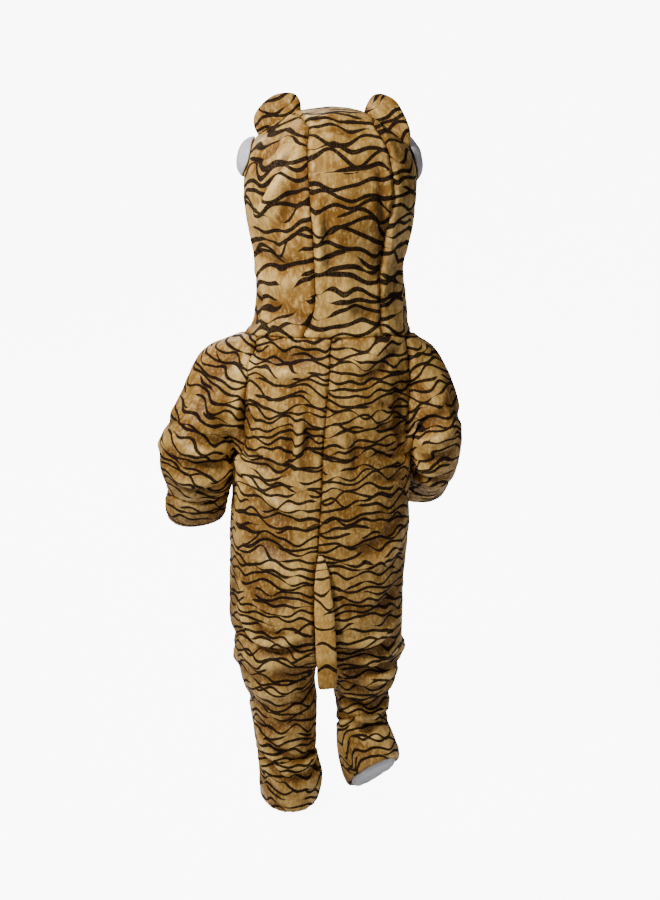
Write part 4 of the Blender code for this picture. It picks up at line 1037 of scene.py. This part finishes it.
class COSTUME_OT_padded(bpy.types.Operator):
    """Shape the padded ears, the white side pads and the tail"""
    bl_idname = "costume.padded"
    bl_label = "Ears, pads and tail"

    def execute(self, context):
        settings = context.scene.costume_plush
        groups = bpy.data.node_groups
        stripes = groups["tiger_stripes"]
        pile = groups["short_pile"]
        tiger = bpy.data.materials["striped_plush"]
        white = bpy.data.materials["plain_white_plush"]
        tail = plush_material(
            "striped_tail_plush", settings.tail_low, settings.tail_high, settings.stripe, stripes, pile,
            spacing=0.0165, thickness=0.0046, cover=0.36)
        # Node, material, slot, lean of the print in degrees, and where the print starts.
        rows = (
            ("ear_left", tiger, "tiger_plush", -18.0, 4.1),
            ("ear_right", tiger, "tiger_plush", -40.0, 4.4),
            ("cheek_left", white, "white_plush", 0.0, 4.7),
            ("cheek_right", white, "white_plush", 0.0, 5.0),
            ("tail", tail, "tiger_plush", 4.0, 5.45),
        )
        for node, material, slot, lean, start in rows:
            obj = solid_copy(node, PADDED_LEVELS, PADDED_SWELL)
            mesh = obj.data
            points = mesh_points(mesh)
            moves = PADDED_UNEVEN * soft_noise(points, PADDED_UNEVEN_SIZE, (start, 0.2, 0.5))
            points = points + mesh_normals(mesh) * moves[:, None]
            if node.startswith("ear"):
                points = self.rooted(points)
            if node == "tail":
                self.shade_tail_end(mesh, points)
            move_points(mesh, points)
            dress(mesh, material)
            store(mesh, "cloth", turned(points, lean) + np.array((start, 0.0, 0.0)))
            finish_piece(obj, "costume", [node])
        return {"FINISHED"}

    def shade_tail_end(self, mesh, points):
        """Darkens the tail's lowest part as painted shade, stored as a trough in its fold values."""
        low = np.clip((points[:, 2].min() + TAIL_SHADE_LENGTH - points[:, 2]) / TAIL_FADE, 0.0, 1.0)
        store(mesh, "fold", -TAIL_SHADE_DEPTH * low)

    def rooted(self, points):
        """The ear's points with its root drawn down into the hood's seam, so that no gap shows under it."""
        ways = np.array(HOOD_MIDDLE) - points
        far = np.linalg.norm(ways, axis=1)
        share = np.clip((far.min() + EAR_ROOT - far) / EAR_ROOT, 0.0, 1.0)
        return points + ways / far[:, None] * (share * EAR_SINK)[:, None]


class COSTUME_OT_zip(bpy.types.Operator):
    """Finish the zip: woven tapes, metal slider and pull, and teeth"""
    bl_idname = "costume.zip"
    bl_label = "Zip"

    def execute(self, context):
        settings = context.scene.costume_zip
        knit = bpy.data.node_groups["rib_weave"]
        tape = tape_material("zip_tape_weave", knit)
        metal = metal_material("zip_satin_metal", METAL)
        finishes = {"zip_tape_left": tape, "zip_tape_right": tape, "zip_slider": metal, "zip_pull": metal}
        for node, material in finishes.items():
            dress(NODES[node].data, material)
        self.add_teeth(settings, self.middle_path(), metal)
        return {"FINISHED"}

    def middle_path(self):
        """Line between the two tapes, from the top down, on their outer faces."""
        near = {}
        for node in ("zip_tape_left", "zip_tape_right"):
            points = {tuple(round(c, 5) for c in v.co) for v in NODES[node].data.vertices}
            rings = sorted(points, key=lambda p: -p[2])
            rows = [rings[i:i + 4] for i in range(0, len(rings), 4)]
            pick = min if node.endswith("left") else max
            near[node] = [pick(row, key=lambda p: p[0]) for row in rows]
        left = near["zip_tape_left"]
        right = near["zip_tape_right"]
        return [(Vector(a) + Vector(b)) / 2 for a, b in zip(left, right)]

    def add_teeth(self, settings, path, metal):
        """Teeth of both tapes in turn, from the slider down."""
        lengths = [(b - a).length for a, b in zip(path, path[1:])]
        total = sum(lengths)
        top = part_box("zip_slider")[0].z - SLIDER_OVERLAP
        across, out, along = settings.tooth
        bm = bmesh.new()
        count = int(total / settings.pitch)
        for i in range(count * 2):
            run = (i + 0.5) * settings.pitch / 2
            k = 0
            while k < len(lengths) - 1 and run > lengths[k]:
                run -= lengths[k]
                k += 1
            share = min(1.0, run / lengths[k])
            place = path[k].lerp(path[k + 1], share)
            if place.z > top:
                continue
            down = (path[k + 1] - path[k]).normalized()
            aside = Vector((1.0, 0.0, 0.0))
            outward = aside.cross(down).normalized()
            if outward.y > 0.0:
                outward = -outward
            side = 1.0 if i % 2 else -1.0
            made = bmesh.ops.create_cube(bm, size=1.0)["verts"]
            bmesh.ops.scale(bm, vec=(across, out, along), verts=made)
            ends = [v for v in made if v.co.x * side < 0.0]
            bmesh.ops.scale(bm, vec=TOOTH_TIP, verts=ends)
            middle = place + outward * (out * 0.5 + TOOTH_LIFT) + aside * (side * across * TOOTH_ASIDE)
            set_down(bm, made, (aside, -outward, -down), middle)
        bmesh.ops.bevel(
            bm, geom=list(bm.edges), offset=TOOTH_EDGE, segments=1, profile=0.5, affect="EDGES", material=-1)
        bmesh.ops.recalc_face_normals(bm, faces=bm.faces)
        obj = link("zip_teeth", mesh_from(bm, "zip_teeth"))
        dress(obj.data, metal)
        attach(obj, "costume")


class COSTUME_OT_stitches(bpy.types.Operator):
    """Sew the visible rows of stitches: beside the zip and round the face opening"""
    bl_idname = "costume.stitches"
    bl_label = "Stitching"

    def execute(self, context):
        settings = context.scene.costume_zip
        thread = thread_material("brown_thread", THREAD)
        rows = []
        for node in ("front_left", "front_right", "hood_left", "hood_right", "hood_strip"):
            wanted = self.beside_zip if node.startswith("front") else self.round_face
            rows += self.rows_beside_edges(bpy.data.objects[node + "_plush"], wanted)
        bm = bmesh.new()
        for place, normal, along in rows:
            self.stitch(bm, place, normal, along, settings.stitch_length)
        obj = link("stitches", mesh_from(bm, "stitches"))
        dress(obj.data, thread)
        finish_piece(obj, "costume")
        return {"FINISHED"}

    def beside_zip(self, place):
        return abs(place.x - ZIP_MIDDLE) < ZIP_REACH and ZIP_FOOT < place.z < 0.0

    def round_face(self, place):
        return place.y < FACE_FRONT

    def rows_beside_edges(self, obj, wanted):
        """Places, normals and directions of stitches along the piece's free edges that are wanted."""
        bm = bmesh.new()
        bm.from_mesh(obj.data)
        tree = BVHTree.FromBMesh(bm)
        found = []
        edges = [e for e in bm.edges if e.is_boundary and all(wanted(v.co) for v in e.verts)]
        left = set(edges)
        while left:
            edge = left.pop()
            chain = [edge.verts[0], edge.verts[1]]
            for end in (1, 0):
                grown = True
                while grown:
                    grown = False
                    here = chain[-1] if end else chain[0]
                    for other in here.link_edges:
                        if other in left:
                            left.discard(other)
                            step = other.other_vert(here)
                            if end:
                                chain.append(step)
                            else:
                                chain.insert(0, step)
                            grown = True
                            break
            places = []
            for vert in chain:
                inner = [e.other_vert(vert).co for e in vert.link_edges if not e.is_boundary]
                if not inner:
                    continue
                way = sum((q - vert.co for q in inner), Vector()).normalized()
                places.append(vert.co + way * STITCH_INSET)
            found += self.spread(tree, places)
        bm.free()
        return found

    def spread(self, tree, places):
        """Even places along a line, laid on the surface."""
        laid = []
        carry = 0.0
        for a, b in zip(places, places[1:]):
            length = (b - a).length
            if length < 1e-7:
                continue
            run = carry
            while run < length:
                place = a.lerp(b, run / length)
                hit, normal, _, gap = tree.find_nearest(place)
                if hit is not None and gap < STITCH_INSET:
                    laid.append((hit, normal, (b - a).normalized()))
                run += STITCH_PITCH
            carry = run - length
        return laid

    def stitch(self, bm, place, normal, along, length):
        """One stitch: a slim bar whose ends dip into the pile."""
        along = (along - normal * along.dot(normal)).normalized()
        made = bmesh.ops.create_icosphere(bm, subdivisions=1, radius=0.5)["verts"]
        bmesh.ops.scale(bm, vec=(length, STITCH_WIDTH, STITCH_HEIGHT), verts=made)
        set_down(bm, made, (along, normal.cross(along), normal), place + normal * STITCH_LIFT)


class COSTUME_OT_stage(bpy.types.Operator):
    """Set the pale floor, the soft lamps and the camera"""
    bl_idname = "costume.stage"
    bl_label = "Studio"

    def execute(self, context):
        settings = context.scene.costume_stage
        self.add_floor(settings)
        self.add_lamps(settings)
        self.add_camera(context)
        return {"FINISHED"}

    def add_floor(self, settings):
        """Floor that curves up into a wall in front of the costume, one plain pale sheet."""
        low = SIZES["cad"][0][2] - FLOOR_GAP
        bm = bmesh.new()
        edge = bm.edges.new([bm.verts.new((side * FLOOR_HALF, FLOOR_BACK, low)) for side in (-1.0, 1.0)])
        turns = [math.radians(90.0 * k / FLOOR_TURNS) for k in range(FLOOR_TURNS + 1)]
        steps = [(FLOOR_FRONT - FLOOR_BEND * math.sin(a), FLOOR_BEND * (1.0 - math.cos(a))) for a in turns]
        steps.append((FLOOR_FRONT - FLOOR_BEND, BACKDROP_HEIGHT))
        for y, z in steps:
            grown = bmesh.ops.extrude_edge_only(bm, edges=[edge])["geom"]
            for vert in [v for v in grown if isinstance(v, bmesh.types.BMVert)]:
                vert.co.y = y
                vert.co.z = low + z
            edge = [e for e in grown if isinstance(e, bmesh.types.BMEdge)][0]
        bmesh.ops.recalc_face_normals(bm, faces=bm.faces)
        floor = link("floor", mesh_from(bm, "floor"))
        for polygon in floor.data.polygons:
            polygon.use_smooth = True
        material, g, shader = new_material("pale_floor", 0.95)
        g.feed(shader.inputs["Base Color"], colour(settings.floor))
        shader.inputs["Specular IOR Level"].default_value = 0.0
        shader.inputs["Emission Color"].default_value = (1.0, 1.0, 1.0, 1.0)
        seen = g.node("ShaderNodeLightPath").outputs["Is Camera Ray"]
        g.feed(shader.inputs["Emission Strength"], g.math("MULTIPLY", seen, settings.glow))
        dress(floor.data, material)
        floor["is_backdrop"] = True

    def add_lamps(self, settings):
        """Three square lamps and an even light all round."""
        # Name, place, aim, size, spread in degrees, and power.
        rows = (
            ("key", (1.10, 1.30, 1.20), (0.02, 0.0, 0.12), 0.30, 70.0, settings.key_power),
            ("fill", (-2.0, 1.6, 0.8), (0.0, 0.0, -0.1), 1.6, 180.0, settings.fill_power),
            ("front", (0.9, -2.4, 1.5), (0.0, 0.0, -0.1), 1.4, 180.0, settings.front_power),
        )
        for name, place, aim, size, spread, power in rows:
            data = bpy.data.lights.new(name, "AREA")
            data.shape = "SQUARE"
            data.size = size
            data.spread = math.radians(spread)
            data.energy = power
            lamp = link(name, data)
            lamp.location = place
            lamp.rotation_euler = (Vector(aim) - Vector(place)).to_track_quat("-Z", "Y").to_euler()
        world = bpy.data.worlds.new("even_light")
        world.use_nodes = True
        light = world.node_tree.nodes["Background"].inputs
        light["Color"].default_value = (1.0, 1.0, 1.0, 1.0)
        sky = Graph(world.node_tree)
        seen = sky.node("ShaderNodeLightPath").outputs["Is Camera Ray"]
        strength = sky.math("MULTIPLY_ADD", seen, settings.glow, settings.world)
        sky.feed(light["Strength"], strength)
        bpy.context.scene.world = world

    def add_camera(self, context):
        """Behind the costume and above its shoulders; the shift is the photo's framing in its own pixels."""
        data = bpy.data.cameras.new("camera")
        data.lens = FOCAL_PIXELS * data.sensor_width / PHOTO_HEIGHT
        data.shift_x = (PHOTO_WIDTH / 2 - PHOTO_MIDDLE[0]) / PHOTO_HEIGHT
        data.shift_y = -(PHOTO_HEIGHT / 2 - PHOTO_MIDDLE[1]) / PHOTO_HEIGHT
        camera = link("camera", data)
        camera.location = CAMERA_PLACE
        camera.rotation_euler = (math.radians(CAMERA_TILT), 0.0, math.radians(180.0))
        context.scene.camera = camera


class COSTUME_PT_sidebar(bpy.types.Panel):
    """Tiger costume tools in the sidebar"""
    bl_label = "Tiger costume"
    bl_idname = "COSTUME_PT_sidebar"
    bl_space_type = "VIEW_3D"
    bl_region_type = "UI"
    bl_category = "Costume"

    def draw(self, context):
        layout = self.layout
        for settings in (context.scene.costume_plush, context.scene.costume_zip, context.scene.costume_stage):
            for key in settings.__annotations__:
                layout.prop(settings, key)
        for operator in OPERATORS:
            layout.operator(operator.bl_idname)


SETTINGS = (("costume_plush", PlushSettings), ("costume_zip", ZipSettings), ("costume_stage", StageSettings))
OPERATORS = (COSTUME_OT_panels, COSTUME_OT_padded, COSTUME_OT_zip, COSTUME_OT_stitches, COSTUME_OT_stage)


def register():
    for name, settings in SETTINGS:
        bpy.utils.register_class(settings)
        setattr(bpy.types.Scene, name, PointerProperty(type=settings))
    for operator in OPERATORS:
        bpy.utils.register_class(operator)
    bpy.utils.register_class(COSTUME_PT_sidebar)


def unregister():
    bpy.utils.unregister_class(COSTUME_PT_sidebar)
    for operator in reversed(OPERATORS):
        bpy.utils.unregister_class(operator)
    for name, settings in reversed(SETTINGS):
        delattr(bpy.types.Scene, name)
        bpy.utils.unregister_class(settings)


def main():
    register()
    bpy.ops.costume.panels()
    bpy.ops.costume.padded()
    bpy.ops.costume.zip()
    bpy.ops.costume.stitches()
    bpy.ops.costume.stage()
    SIZES["visual"] = [list(corner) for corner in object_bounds()]


if __name__ == "__main__":
    main()
